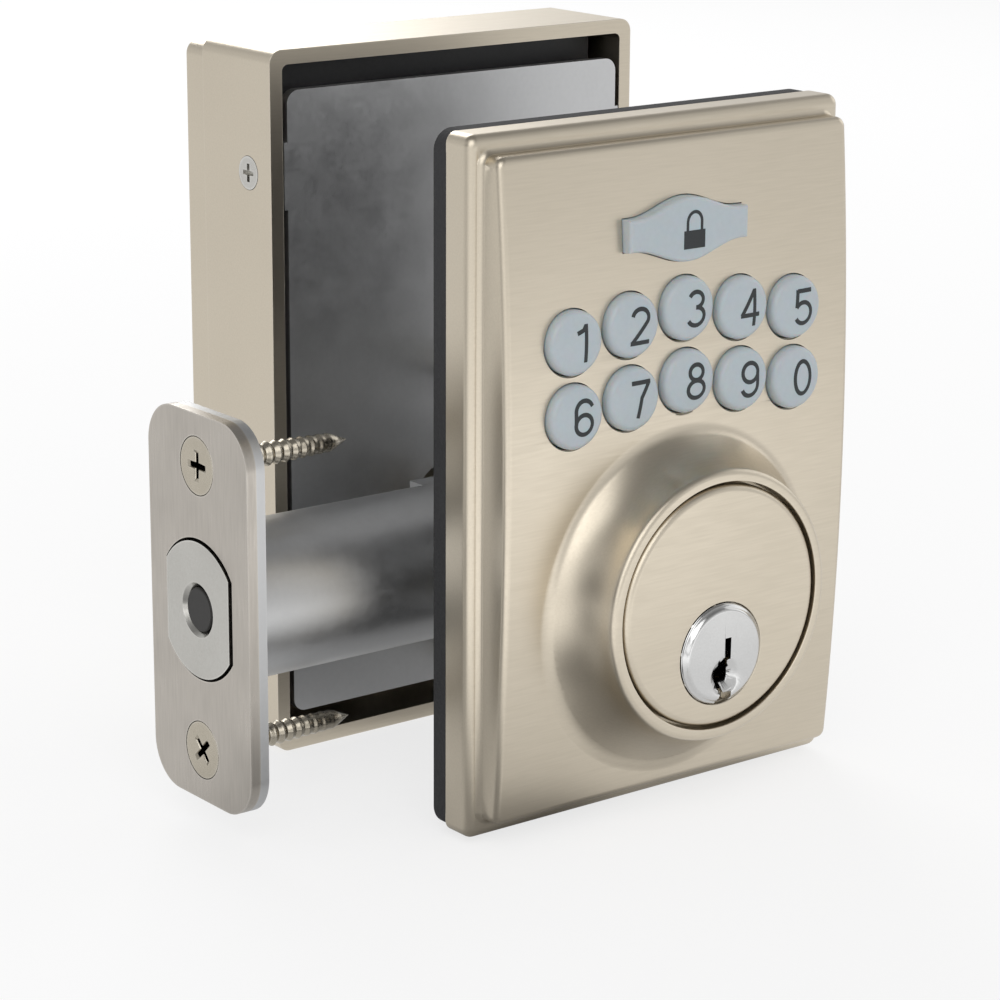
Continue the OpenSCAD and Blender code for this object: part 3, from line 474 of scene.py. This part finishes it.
def cut(thing, others, operation):
    """Applies a Boolean step between thing and each of the others in turn, then drops them."""
    for other in others:
        step = thing.modifiers.new("cut", "BOOLEAN")
        step.operation = operation
        step.solver = "EXACT"
        step.object = other
        ready = thing.evaluated_get(bpy.context.evaluated_depsgraph_get())
        bm = bmesh.new()
        bm.from_mesh(ready.data)
        thing.modifiers.clear()
        bmesh.ops.remove_doubles(bm, verts=bm.verts, dist=MERGE)
        bmesh.ops.dissolve_degenerate(bm, edges=bm.edges, dist=MERGE)
        thing.data.materials.clear()
        bm.to_mesh(thing.data)
        bm.free()
        bpy.data.objects.remove(other)


QUARTER = [radians(a) for a in (0, 22, 45, 68, 90)]
REACH, TILT_RADIUS = 3, 518


def flared_hole(radius, at, soft=0.2):
    """A cutter that rounds the rim of a hole where it meets the arched plate."""
    rim = -face_y(at[1])
    profile = [(0, rim + REACH), (radius, rim + REACH)]
    profile += [(radius + soft * (1 - cos(a)), rim + soft * (1 - sin(a))) for a in QUARTER]
    profile += [(radius + soft, rim - REACH), (0, rim - REACH)]
    bm = turned(profile, steps=48)
    slope = atan((at[1] - MIDDLE_Z) / TILT_RADIUS)
    centre = Vector((0, rim * MM, 0))
    bmesh.ops.rotate(bm, verts=bm.verts, cent=centre, matrix=Matrix.Rotation(slope, 3, "X"))
    bmesh.ops.translate(bm, verts=bm.verts, vec=(at[0] * MM, 0, at[1] * MM))
    return bm


KEY_NAMES = "1234567890"
KEY_RADIUS, KEY_GAP = 4.6, 0.18
KEY_PITCH, ROW_Z, ROW_DROP, ROW_RISE = 10.2, 39.4, 10.4, 2.3


def key_place(index):
    """Middle of a digit key, in millimetres: two rows of five that rise to the middle."""
    column, row = index % 5 - 2, index // 5
    return column * KEY_PITCH, ROW_Z - row * ROW_DROP + ROW_RISE * (1 - abs(column) / 2)


satin_nickel = finish(
    "brushed satin nickel", (0.64, 0.575, 0.47), (0.59, 0.53, 0.43), (0.3, 0.38), metal=1,
    grain=(0.05, 1, 1), scale=3600, depth=0.0011, cloud=24, worn=(0.76, 0.71, 0.62), wear=0.7,
)

# The CAD solid is filled up under the cove and the boss's foot, then cut by a smooth
# envelope that lies this thin skin inside the CAD's faces. Its inside stays the CAD's.
SKIN = 0.03
BEHIND = -2
COVE, COVE_BACK = 0.75, 6.5
LIP_RADIUS, LIP_Y, LIP_RIM, FLARE = 20, 22.8, 0.92, 12
ledge = new_object("ledge", panel(
    HOUSING_WIDE - 2 * SKIN, HOUSING_TALL - 2 * SKIN, MIDDLE_Z, HOUSING_CORNER, BEHIND,
    front=lambda z: LEDGE_Y - SKIN, edge=LEDGE_RIM, rounds=8))
plate = new_object("plate", panel(
    PLATE_WIDE - 2 * SKIN, PLATE_TALL - 2 * SKIN, MIDDLE_Z, PLATE_CORNER, BEHIND,
    front=lambda z: face_y(z) - SKIN, edge=PLATE_RIM, rows=48))


def flare_y(radius):
    """Depth of the boss's hollow side at a radius, in millimetres from the door."""
    return LIP_Y - FLARE * sin(acos(1 - (radius - LIP_RADIUS) / FLARE))


FOOT_INNER, FOOT_OUTER, FOOT_THICK = 22.5, 28.6, 0.6
FOOT_SOFT, FOOT_END, FOOT_FADE = 0.8, 28.4, 2
SINK, SINK_MIDDLE, SINK_HALF = 0.04, 25.5, 3.1


def boss_foot(raised=0):
    """A ring that fills the corner between the boss and the arched plate, raised a little
    where it only has to reach through the envelope."""
    bm = bmesh.new()
    turns, rings = 150, 22
    inner, outer = FOOT_INNER - raised, FOOT_OUTER + raised
    radii = [inner + (outer - inner) * i / rings for i in range(rings + 1)]
    grid = []
    for turn_index in range(turns):
        angle = 2 * pi * turn_index / turns
        ring = []
        for radius in radii:
            x, z = radius * cos(angle), radius * sin(angle)
            plate_y, side_y = face_y(z), flare_y(radius)
            soft = FOOT_SOFT * min(1, max(0.001, (FOOT_END - radius) / FOOT_FADE))
            near = max(0, soft - abs(plate_y - side_y)) / soft
            sunk = SINK * ((radius - SINK_MIDDLE) / SINK_HALF) ** 4
            top = max(plate_y, side_y) + near ** 2 * soft / 4 - SKIN - sunk
            ring.append((bm.verts.new((x, -top - raised, z)),
                         bm.verts.new((x, FOOT_THICK + raised - top, z))))
        grid.append(ring)
    for here, there in zip(grid, grid[1:] + grid[:1]):
        for a, b, c, d in zip(here, here[1:], there[1:], there):
            bm.faces.new((a[0], b[0], c[0], d[0]))
            bm.faces.new((d[1], c[1], b[1], a[1]))
        bm.faces.new((here[0][1], here[0][0], there[0][0], there[0][1]))
        bm.faces.new((here[-1][0], here[-1][1], there[-1][1], there[-1][0]))
    bmesh.ops.recalc_face_normals(bm, faces=bm.faces)
    scaled(bm)
    return bm


boss_side = [(LIP_RADIUS - SKIN + FLARE * (1 - cos(a)), -(LIP_Y - FLARE * sin(a)))
             for a in (radians(d) for d in range(57, 4, -3))]
lip = [(LIP_RADIUS - LIP_RIM - SKIN + LIP_RIM * cos(a),
        -(LIP_Y - SKIN - LIP_RIM + LIP_RIM * sin(a)))
       for a in (radians(d) for d in range(8, 91, 16))]
boss = new_object("boss", turned([(0, 0), (boss_side[0][0], 0)] + boss_side + lip
                                 + [(0, -(LIP_Y - SKIN))], steps=128))
cove = new_object("cove", panel(
    PLATE_WIDE + 2 * COVE, PLATE_TALL + 2 * COVE, MIDDLE_Z, PLATE_CORNER + COVE, COVE_BACK,
    front=lambda z: LEDGE_Y - SKIN + COVE, edge=COVE, rounds=6, bulge=0.15))
for part in (ledge, boss, cove, new_object("foot", boss_foot())):
    cut(plate, [part], "UNION")
filling = new_object("filling", panel(66, 97.6, MIDDLE_Z, corner=2, back_y=6.6,
                                      front=lambda z: 9.2, edge=0))
core = new_object("core", panel(62.6, 94.2, MIDDLE_Z, corner=1, back_y=5,
                                front=lambda z: 11, edge=0))
cut(filling, [core], "DIFFERENCE")
housing = new_object("outer_housing", cad_copy("escutcheon"))
cut(housing, [filling], "UNION")
cut(housing, [new_object("foot filling", boss_foot(0.3))], "UNION")
cut(housing, [plate], "INTERSECT")
RECESS, RECESS_START, RECESS_RIM, RECESS_END = 18.19, 21.3, 0.22, 26
recess = [(0, -RECESS_START), (RECESS, -RECESS_START)]
recess += [(RECESS + RECESS_RIM * (1 - cos(a)), -(LIP_Y - RECESS_RIM * (1 - sin(a))))
           for a in QUARTER]
recess += [(RECESS + RECESS_RIM, -RECESS_END), (0, -RECESS_END)]
cutters = [new_object("recess cutter", turned(recess, steps=128))]
cutters += [new_object("key hole cutter", flared_hole(KEY_RADIUS + KEY_GAP, key_place(i)))
            for i in range(10)]
cut(housing, cutters, "DIFFERENCE")
shaded(housing, satin_nickel)
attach(housing, "lock_body")
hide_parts("escutcheon")


# ---- Plates, posts and screws behind the outer housing
# Zinc-plated pressed steel, screwed into the housing's posts. The two long bolts from
# inside the room screw into the round posts.
zinc = finish("zinc-plated steel", (0.56, 0.565, 0.57), (0.6, 0.605, 0.61), (0.38, 0.45), metal=1,
              scale=1200, depth=0.003, cloud=260, worn=(0.75, 0.75, 0.75), wear=0.5)
steel_screw = finish("plated screw steel", (0.52, 0.51, 0.48), (0.6, 0.59, 0.56), (0.25, 0.4),
                     metal=1, scale=2600, depth=0.004, cloud=300, worn=(0.8, 0.79, 0.76), wear=0.8)
dress(zinc, "exterior_back_plate", "mounting_plate", "bolt_posts", "latch_case", "latch_tube",
      "latch_backplate")
dress(steel_screw, "back_plate_screws", "keypad_board_screws", "cylinder_screws", "through_bolts",
      "housing_screws", "board_screws", "chassis_screws")


# ---- Keypad mat and board
# A moulded silicone mat with a dome under each key lies on a green glass-fibre board,
# which four screws hold to the housing.
silicone = finish("translucent silicone", (0.36, 0.4, 0.42), (0.42, 0.46, 0.48), (0.45, 0.6),
                  scale=900, depth=0.01, Subsurface_Weight=0.2, Subsurface_Scale=0.001)
dress(silicone, "keypad_mat")

laminate = finish("glass-fibre board", (0.012, 0.1, 0.045), (0.02, 0.14, 0.065), (0.25, 0.4),
                  grain=(1, 1, 1), scale=700, depth=0.01, cloud=160, Coat_Weight=0.4)
dress(laminate, "keypad_board", "control_board")


# ---- Digit keys
# Ten moulded keys of translucent blue-grey plastic with domed tops. A flange behind the
# plate keeps each one in, and its stem presses the mat. The digits are printed on.
key_plastic = finish("translucent key plastic", (0.47, 0.53, 0.565), (0.5, 0.56, 0.595),
                     (0.3, 0.38), scale=1500, depth=0.002, cloud=90,
                     Subsurface_Weight=0.35, Subsurface_Scale=0.0015, Coat_Weight=0.15)
key_ink = finish("printed ink", (0.016, 0.019, 0.021), (0.024, 0.028, 0.03), (0.55, 0.65),
                 scale=4000, depth=0.003)

KEY_PROUD, KEY_RIM, KEY_CROWN = 1.7, 0.95, 0.28
STEM_RADIUS, FLANGE_RADIUS = 1.6, 4.95
STEM_Y, FLANGE_Y, BODY_Y = 9.45, 10.9, 11.7
STROKE, DIGIT_WIDTH, DIGIT_ASIDE = 0.65, 1.13, 0.85


def arc(x, z, wide, high, start, end, steps=20):
    """Points of an elliptical arc, angles in degrees."""
    angles = [radians(start + (end - start) * i / steps) for i in range(steps + 1)]
    return [(x + wide * cos(a), z + high * sin(a)) for a in angles]


six = [arc(0, -1, 1.3, 1.4, 0, 360, 32), arc(0.05, 0.9, 1.35, 1.5, 22, 180) + [(-1.27, -1)]]
DIGITS = {
    "1": [[(0.4, -2.7), (0.4, 2.7)], [(0.4, 2.55), (-0.05, 1.85), (-1, 1.5)]],
    "2": [arc(0, 1.15, 1.3, 1.25, 168, -28) + [(-1.3, -2.35)], [(-1.55, -2.4), (1.5, -2.4)]],
    "3": [arc(0, 1.3, 1.15, 1.1, 155, -90), arc(0, -1.1, 1.35, 1.3, 94, -155)],
    "4": [[(0.7, -2.7), (0.7, 2.7)], [(0.65, 2.5), (-1.45, -1.05)],
          [(-1.6, -1.05), (1.55, -1.05)]],
    "5": [[(-0.95, 2.4), (1.4, 2.4)], [(-0.95, 2.6), (-1.15, 0)],
          arc(0, -0.85, 1.35, 1.55, 148, -150)],
    "6": six,
    "7": [[(-1.5, 2.4), (1.55, 2.4)], [(1.35, 2.4), (0.1, 0.2), (-0.4, -2.7)]],
    "8": [arc(0, 1.3, 1.1, 1.1, 0, 360, 32), arc(0, -1.15, 1.35, 1.25, 0, 360, 32)],
    "9": [[(-x, -z) for x, z in line] for line in six],
    "0": [arc(0, 0, 1.32, 2.4, 0, 360, 40)],
}


STEP, SAME_POINT, PRINT_HEIGHT = 0.35, 1e-4, 0.1


def printed(name, strokes, width, at, depth_at):
    """Flat printed lines on a curved top: depth_at gives its depth at a point."""
    line = bpy.data.curves.new(name, "CURVE")
    line.dimensions = "3D"
    line.bevel_depth = width / 2
    line.bevel_resolution = 2
    line.use_fill_caps = True
    for points in strokes:
        closed = (Vector(points[0]) - Vector(points[-1])).length < SAME_POINT
        dense = [points[0]]
        for (x0, z0), (x1, z1) in zip(points, points[1:]):
            steps = max(1, ceil(hypot(x1 - x0, z1 - z0) / STEP))
            dense += [(x0 + (x1 - x0) * i / steps, z0 + (z1 - z0) * i / steps)
                      for i in range(1, steps + 1)]
        used = dense[:-1] if closed else dense
        spline = line.splines.new("POLY")
        spline.points.add(len(used) - 1)
        spline.use_cyclic_u = closed
        for point, (x, z) in zip(spline.points, used):
            point.co = (x, 0, z, 1)
    holder = bpy.data.objects.new(name, line)
    scene.collection.objects.link(holder)
    bpy.context.view_layer.update()
    bm = bmesh.new()
    bm.from_mesh(bpy.data.meshes.new_from_object(
        holder.evaluated_get(bpy.context.evaluated_depsgraph_get())))
    bpy.data.objects.remove(holder)
    bmesh.ops.remove_doubles(bm, verts=bm.verts, dist=SAME_POINT)
    for vert in bm.verts:
        height = PRINT_HEIGHT * vert.co.y
        vert.co.x += at[0]
        vert.co.z += at[1]
        vert.co.y = depth_at(vert.co.x, vert.co.z) + height
    bmesh.ops.recalc_face_normals(bm, faces=bm.faces)
    scaled(bm)
    return new_object(name, bm)


for index, name in enumerate(KEY_NAMES):
    x, z = key_place(index)
    top = -(face_y(z) + KEY_PROUD)
    flat_radius = KEY_RADIUS - KEY_RIM
    profile = [(0, -STEM_Y), (STEM_RADIUS, -STEM_Y), (STEM_RADIUS, -FLANGE_Y),
               (FLANGE_RADIUS, -FLANGE_Y), (FLANGE_RADIUS, -BODY_Y), (KEY_RADIUS, -BODY_Y)]
    profile += [(flat_radius + KEY_RIM * cos(a), top + KEY_CROWN + KEY_RIM * (1 - sin(a)))
                for a in (radians(d) for d in range(0, 84, 9))]
    profile += [(flat_radius * k / 6, top + KEY_CROWN * (k / 6) ** 2) for k in range(6, -1, -1)]
    key = new_object("digit_key_" + name, turned(profile, (x, z), steps=64))
    shaded(key, key_plastic)
    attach(key, "key_" + name)
    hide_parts("key_" + name)

    def top_at(px, pz, x=x, z=z, top=top, flat=flat_radius):
        """Depth of this key's domed top at a point."""
        return top + KEY_CROWN * ((px - x) ** 2 + (pz - z) ** 2) / flat ** 2

    wide = [[(DIGIT_WIDTH * px, pz) for px, pz in line] for line in DIGITS[name]]
    digit = printed("digit_" + name, wide, STROKE, (x + DIGIT_ASIDE, z), top_at)
    shaded(digit, key_ink)
    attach(digit, "key_" + name)


# ---- Lock key
# One wide key of the same plastic above the digits, with a printed padlock. It locks
# the door from outside.
LOCK_HALF, LOCK_END, LOCK_CROWN, LOCK_WAVE, LOCK_Z = 10.9, 2.3, 2.3, 9.8, 53
LOCK_BACK, LOCK_RIM, ICON_ASIDE = 11, 0.7, 0.75
LOCK_FLANGE, LOCK_FLANGE_BACK, LOCK_FLANGE_FRONT, LOCK_STEM_TOP = 0.45, 10.2, 10.8, 10.5
SHACKLE_HALF, SHACKLE_FOOT, SHACKLE_BEND, SHACKLE_TOP, SHACKLE_WIDTH = 1.3, -0.3, 1, 1.45, 0.5
PADLOCK_SIZE, PADLOCK_DROP, PADLOCK_RIM = (3.9, 0.06, 2.6), 1.45, 0.02


def lock_edge(x):
    """Half the lock key's height at x."""
    return LOCK_END + LOCK_CROWN * (1 + cos(pi * min(1, abs(x) / LOCK_WAVE))) / 2


def lock_solid(grow, back_y, front_y, edge):
    """The lock key's outline as a slab, grown outwards by grow, its front rim rounded."""
    bm = bmesh.new()
    xs = [(LOCK_HALF + grow) * (i / 20 - 1) for i in range(41)]
    loop = [(x, lock_edge(x) + grow) for x in xs] + [(x, -lock_edge(x) - grow) for x in xs[::-1]]
    face = bm.faces.new([bm.verts.new((x, -back_y, LOCK_Z + z)) for x, z in loop])
    raised = bmesh.ops.extrude_face_region(bm, geom=[face])
    moved = [v for v in raised["geom"] if isinstance(v, bmesh.types.BMVert)]
    for vert in moved:
        vert.co.y = -front_y
    bmesh.ops.recalc_face_normals(bm, faces=bm.faces)
    rim = [e for e in bm.edges if all(v in moved for v in e.verts)]
    if edge:
        bmesh.ops.bevel(bm, geom=rim, offset=edge, offset_type="OFFSET", segments=4, profile=0.5,
                        affect="EDGES", clamp_overlap=True, material=-1)
    scaled(bm)
    return bm


lock_top = face_y(LOCK_Z) + KEY_PROUD
lock_key = new_object("padlock_key", lock_solid(0, LOCK_BACK, lock_top, LOCK_RIM))
flange = new_object("flange", lock_solid(LOCK_FLANGE, LOCK_FLANGE_BACK, LOCK_FLANGE_FRONT, 0))
stem = new_object("stem", turned([(0, -STEM_Y), (STEM_RADIUS, -STEM_Y),
                                  (STEM_RADIUS, -LOCK_STEM_TOP), (0, -LOCK_STEM_TOP)],
                                 (0, LOCK_Z), steps=32))
cut(lock_key, [flange, stem], "UNION")
shaded(lock_key, key_plastic)
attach(lock_key, "lock_key")
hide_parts("lock_key")
icon_at = (ICON_ASIDE, LOCK_Z)
bow = arc(0, SHACKLE_BEND, SHACKLE_HALF, SHACKLE_TOP, 180, 0)
shackle = [[(-SHACKLE_HALF, SHACKLE_FOOT), (-SHACKLE_HALF, SHACKLE_BEND)] + bow[1:]
           + [(SHACKLE_HALF, SHACKLE_FOOT)]]
icon = printed("padlock_shackle", shackle, SHACKLE_WIDTH, icon_at, lambda x, z: -lock_top)
shaded(icon, key_ink)
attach(icon, "lock_key")
bm = bmesh.new()
bmesh.ops.create_cube(bm, size=1)
bmesh.ops.scale(bm, vec=PADLOCK_SIZE, verts=bm.verts)
bmesh.ops.translate(bm, verts=bm.verts, vec=(icon_at[0], -lock_top, icon_at[1] - PADLOCK_DROP))
bmesh.ops.bevel(bm, geom=bm.edges[:], offset=PADLOCK_RIM, segments=2, profile=0.5,
                affect="EDGES", material=-1)
scaled(bm)
padlock = new_object("padlock_body", bm)
shaded(padlock, key_ink)
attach(padlock, "lock_key")


# ---- Cylinder housing
# Cast and turned, satin nickel. Its round face fills the boss with a thin gap and its
# rear is screwed to the back plate. Its face is bare.
CASE_RADIUS, CASE_Y, CASE_RIM, CASE_STEP = 17.8, 22.9, 1.08, 19.9
SEAT, SEAT_START, SEAT_RIM, SEAT_END = 7.53, 22, 0.3, 25
CLEAR_RADIUS, CLEAR_BACK, PLUG_Z = 24, 6, -7
disk_rim = [(CASE_RADIUS - SKIN - CASE_RIM + CASE_RIM * cos(a),
             -(CASE_Y - SKIN - CASE_RIM + CASE_RIM * sin(a)))
            for a in (radians(d) for d in range(0, 91, 15))]
disk = [(0, CLEAR_BACK), (CLEAR_RADIUS, CLEAR_BACK), (CLEAR_RADIUS, -CASE_STEP),
        (CASE_RADIUS - SKIN, -CASE_STEP)] + disk_rim + [(0, -(CASE_Y - SKIN))]
cylinder = new_object("cylinder_case", cad_copy("cylinder_housing"))
cut(cylinder, [new_object("disk", turned(disk, steps=128))], "INTERSECT")
seat = [(0, -SEAT_START), (SEAT, -SEAT_START)]
seat += [(SEAT + SEAT_RIM * (1 - cos(a)), -(CASE_Y - SEAT_RIM * (1 - sin(a))))
         for a in QUARTER]
seat += [(SEAT + SEAT_RIM, -SEAT_END), (0, -SEAT_END)]
cut(cylinder, [new_object("seat cutter", turned(seat, (0, PLUG_Z)))], "DIFFERENCE")
shaded(cylinder, satin_nickel)
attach(cylinder, "lock_body")
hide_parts("cylinder_housing")


# ---- Plug
# Chrome-plated turned brass with the keyway broached through it. It turns in the
# cylinder and a spring clip holds it from behind.
chrome = finish("bright chrome plate", (0.56, 0.56, 0.555), (0.61, 0.61, 0.605), (0.1, 0.16),
                metal=1, scale=3000, depth=0.0006, cloud=200, worn=(0.86, 0.86, 0.86), wear=0.3)
PLUG_RADIUS, PLUG_Y, PLUG_STEP, PLUG_SIDE = 7.4, 23.7, 22.8, 23.05
CROWN_RADIUS, CROWN_WIDE, CROWN_DEEP = 6.35, 0.55, 0.5
PLUG_CLEAR_RADIUS, PLUG_CLEAR_BACK = 12, 12
plug_rim = [(PLUG_RADIUS - SKIN, -PLUG_STEP), (PLUG_RADIUS - SKIN, -PLUG_SIDE)]
plug_rim += [(CROWN_RADIUS + CROWN_WIDE * cos(a),
              -(PLUG_Y - SKIN - CROWN_DEEP + CROWN_DEEP * sin(a)))
             for a in (radians(d) for d in range(20, 91, 14))]
plug_outline = [(0, PLUG_CLEAR_BACK), (PLUG_CLEAR_RADIUS, PLUG_CLEAR_BACK),
                (PLUG_CLEAR_RADIUS, -PLUG_STEP)] + plug_rim + [(0, -(PLUG_Y - SKIN))]
plug_skin = new_object("plug skin", turned(plug_outline, (0, PLUG_Z), steps=96))
plug = new_object("plug", cad_copy("cylinder_plug"))
cut(plug, [plug_skin], "INTERSECT")
shaded(plug, chrome)
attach(plug, "plug")
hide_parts("cylinder_plug")


# ---- Pins, springs and gears of the cylinder
# Brass key pins and steel drivers under fine springs, a spring steel clip, and the pair
# of small brass gears that take the key's turn to the spindle.
brass = finish("turned brass", (0.62, 0.42, 0.16), (0.7, 0.49, 0.2), (0.22, 0.36), metal=1,
               scale=2400, depth=0.003, cloud=260, worn=(0.85, 0.66, 0.36), wear=0.7)
spring_steel = finish("spring steel", (0.45, 0.45, 0.46), (0.55, 0.55, 0.56), (0.2, 0.34),
                      metal=1, scale=2600, depth=0.003, cloud=260)
dress(brass, "key_pins", "plug_gear", "spindle_gear", "latch_hub", "motor_pinion")
dress(spring_steel, "driver_pins", "pin_springs", "plug_clip", "thumbturn_clip")
dress(zinc, "spindle", "bolt_link", "link_pin")


# ---- Latch faceplate and its screws
# Pressed steel, nickel plated, let flush into the door's edge by two countersunk
# screws. Its face is bare.
def softened(node, name, width, material, body, angle=35, segments=3):
    """A copy of the CAD solid with its edges rounded by width, in place of it."""
    thing = new_object(name, cad_copy(node))
    soft_edge = thing.modifiers.new("soft edges", "BEVEL")
    soft_edge.limit_method = "ANGLE"
    soft_edge.angle_limit = radians(angle)
    soft_edge.width = width * MM
    soft_edge.segments = segments
    soft_edge.harden_normals = False
    shaded(thing, material)
    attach(thing, body)
    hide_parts(node)
    return thing


latch_nickel = finish("nickel-plated steel", (0.5, 0.465, 0.42), (0.44, 0.41, 0.37),
                      (0.26, 0.38), metal=1, grain=(1, 1, 0.06), scale=3000, depth=0.0012,
                      cloud=90, worn=(0.75, 0.72, 0.66), wear=0.9)
softened("faceplate", "latch_faceplate", 0.2, latch_nickel, "lock_body")
screw_nickel = finish("nickel-plated screw", (0.44, 0.4, 0.325), (0.5, 0.455, 0.375), (0.2, 0.32),
                      metal=1, scale=2600, depth=0.004, cloud=300, worn=(0.8, 0.77, 0.7), wear=0.9)
screws = softened("wood_screws", "faceplate_screws", 0.08, screw_nickel, "lock_body")
CROSS_FLOOR, CROSS_RAISE, CROSS_TAPER = Vector((-58.8, 20, 21)) * MM, 0.8 * MM, 0.4
for vert in screws.data.vertices:
    if abs(vert.co.x - CROSS_FLOOR.x) < 0.05 * MM:
        axis_z = CROSS_FLOOR.z * (1 if vert.co.z > 0 else -1)
        vert.co.x -= CROSS_RAISE
        vert.co.y = CROSS_FLOOR.y + (vert.co.y - CROSS_FLOOR.y) * CROSS_TAPER
        vert.co.z = axis_z + (vert.co.z - axis_z) * CROSS_TAPER


# ---- Bolt
# Solid nickel-plated steel with two flats. A hardened pin in its end defeats a saw.
bolt_nickel = finish("bright nickel", (0.47, 0.46, 0.43), (0.52, 0.51, 0.48), (0.16, 0.26),
                     metal=1, grain=(0.08, 1, 1), scale=2600, depth=0.0015, cloud=120,
                     worn=(0.85, 0.84, 0.8), wear=0.9)
softened("deadbolt", "bolt", 0.3, bolt_nickel, "deadbolt")
black_steel = finish("blackened hard steel", (0.032, 0.031, 0.03), (0.05, 0.048, 0.046),
                     (0.35, 0.5), metal=0.7, scale=1800, depth=0.006)
saw_pin = softened("anti_saw_pin", "saw_pin", 0.25, black_steel, "deadbolt")
PIN_END, PIN_SHOWN = -59 * MM, -60.35 * MM
for vert in saw_pin.data.vertices:
    if vert.co.x < PIN_END:
        vert.co.x = PIN_SHOWN


# ---- Ribbon cable
# A flat grey ribbon of film-insulated wires from the keypad's board to the inner board.
ribbon = finish("ribbon film", (0.5, 0.5, 0.52), (0.42, 0.42, 0.44), (0.35, 0.5),
                grain=(1, 0.02, 0.02), scale=900, depth=0.03)
dress(ribbon, "ribbon_cable")


# ---- Inner housing, cover and thumbturn
# Cast zinc in the same satin nickel. The cover slides up off the batteries, and the
# thumbturn's shaft turns in a black bushing.
softened("interior_housing", "inner_housing", 0.5, satin_nickel, "lock_body")
softened("battery_cover", "inner_cover", 0.4, satin_nickel, "battery_cover")
softened("thumbturn", "turn_piece", 0.6, satin_nickel, "thumbturn")


# ---- Battery tray, cells and contacts
# A black moulded tray holds four cells, in wrappers with a coloured end, between plated
# steel tabs and springs.
black_plastic = finish("black moulded plastic", (0.02, 0.02, 0.022), (0.03, 0.03, 0.032),
                       (0.38, 0.55), scale=1400, depth=0.02)
dress(black_plastic, "battery_tray", "gear_chassis", "thumbturn_bushing")
cell_wrap = finish("cell wrapper", (0.03, 0.032, 0.036), (0.05, 0.05, 0.055), (0.22, 0.34),
                   scale=500, depth=0.004)
dress(cell_wrap, "battery_cells")
CELL_MIDDLE, CELL_PITCH, BAND_START = 44 * MM, 14.8 * MM, 14 * MM
CAN_HALF, CAN_SHIFT = 24.5 * MM, 0.75 * MM
BAND_COLOUR, CAN_COLOUR = (0.5, 0.22, 0.07, 1), (0.6, 0.6, 0.58, 1)
nodes, links = cell_wrap.node_tree.nodes, cell_wrap.node_tree.links
spot = nodes.new("ShaderNodeTexCoord")
axes = nodes.new("ShaderNodeSeparateXYZ")
links.new(spot.outputs["Object"], axes.inputs[0])
across = math_node(nodes, "MULTIPLY_ADD", None, pi / CELL_PITCH, 1.5 * pi)
links.new(axes.outputs["X"], across.inputs[0])
way = math_node(nodes, "COSINE")
links.new(across.outputs[0], way.inputs[0])
way_up = math_node(nodes, "SIGN")
links.new(way.outputs[0], way_up.inputs[0])
above = math_node(nodes, "SUBTRACT", None, CELL_MIDDLE)
links.new(axes.outputs["Z"], above.inputs[0])
along = joined("MULTIPLY", above.outputs[0], way_up.outputs[0])
band = math_node(nodes, "GREATER_THAN", None, BAND_START)
links.new(along, band.inputs[0])
off_middle = math_node(nodes, "SUBTRACT", None, CAN_SHIFT)
links.new(along, off_middle.inputs[0])
reach = math_node(nodes, "ABSOLUTE")
links.new(off_middle.outputs[0], reach.inputs[0])
bare_end = math_node(nodes, "GREATER_THAN", None, CAN_HALF)
links.new(reach.outputs[0], bare_end.inputs[0])
colour = cell_wrap.node_tree.nodes["Group"].outputs["Colour"]
for mask, paint in ((band, BAND_COLOUR), (bare_end, CAN_COLOUR)):
    coat = nodes.new("ShaderNodeMix")
    coat.data_type = "RGBA"
    coat.inputs["B"].default_value = paint
    links.new(mask.outputs[0], coat.inputs["Factor"])
    links.new(colour, coat.inputs["A"])
    colour = coat.outputs["Result"]
links.new(colour, nodes["Principled BSDF"].inputs["Base Color"])
links.new(joined("MAXIMUM", band.outputs[0], bare_end.outputs[0]),
          nodes["Principled BSDF"].inputs["Metallic"])
dress(spring_steel, "battery_contacts")


# ---- Motor and gears
# A small can motor drives the output gear through an idler. The two larger wheels are
# moulded in white plastic.
dress(zinc, "drive_motor", "idler_axle")
white_plastic = finish("white moulded plastic", (0.72, 0.72, 0.68), (0.78, 0.78, 0.74),
                       (0.35, 0.5), scale=1200, depth=0.008, Subsurface_Weight=0.1,
                       Subsurface_Scale=0.001)
dress(white_plastic, "idler_gear", "output_gear")
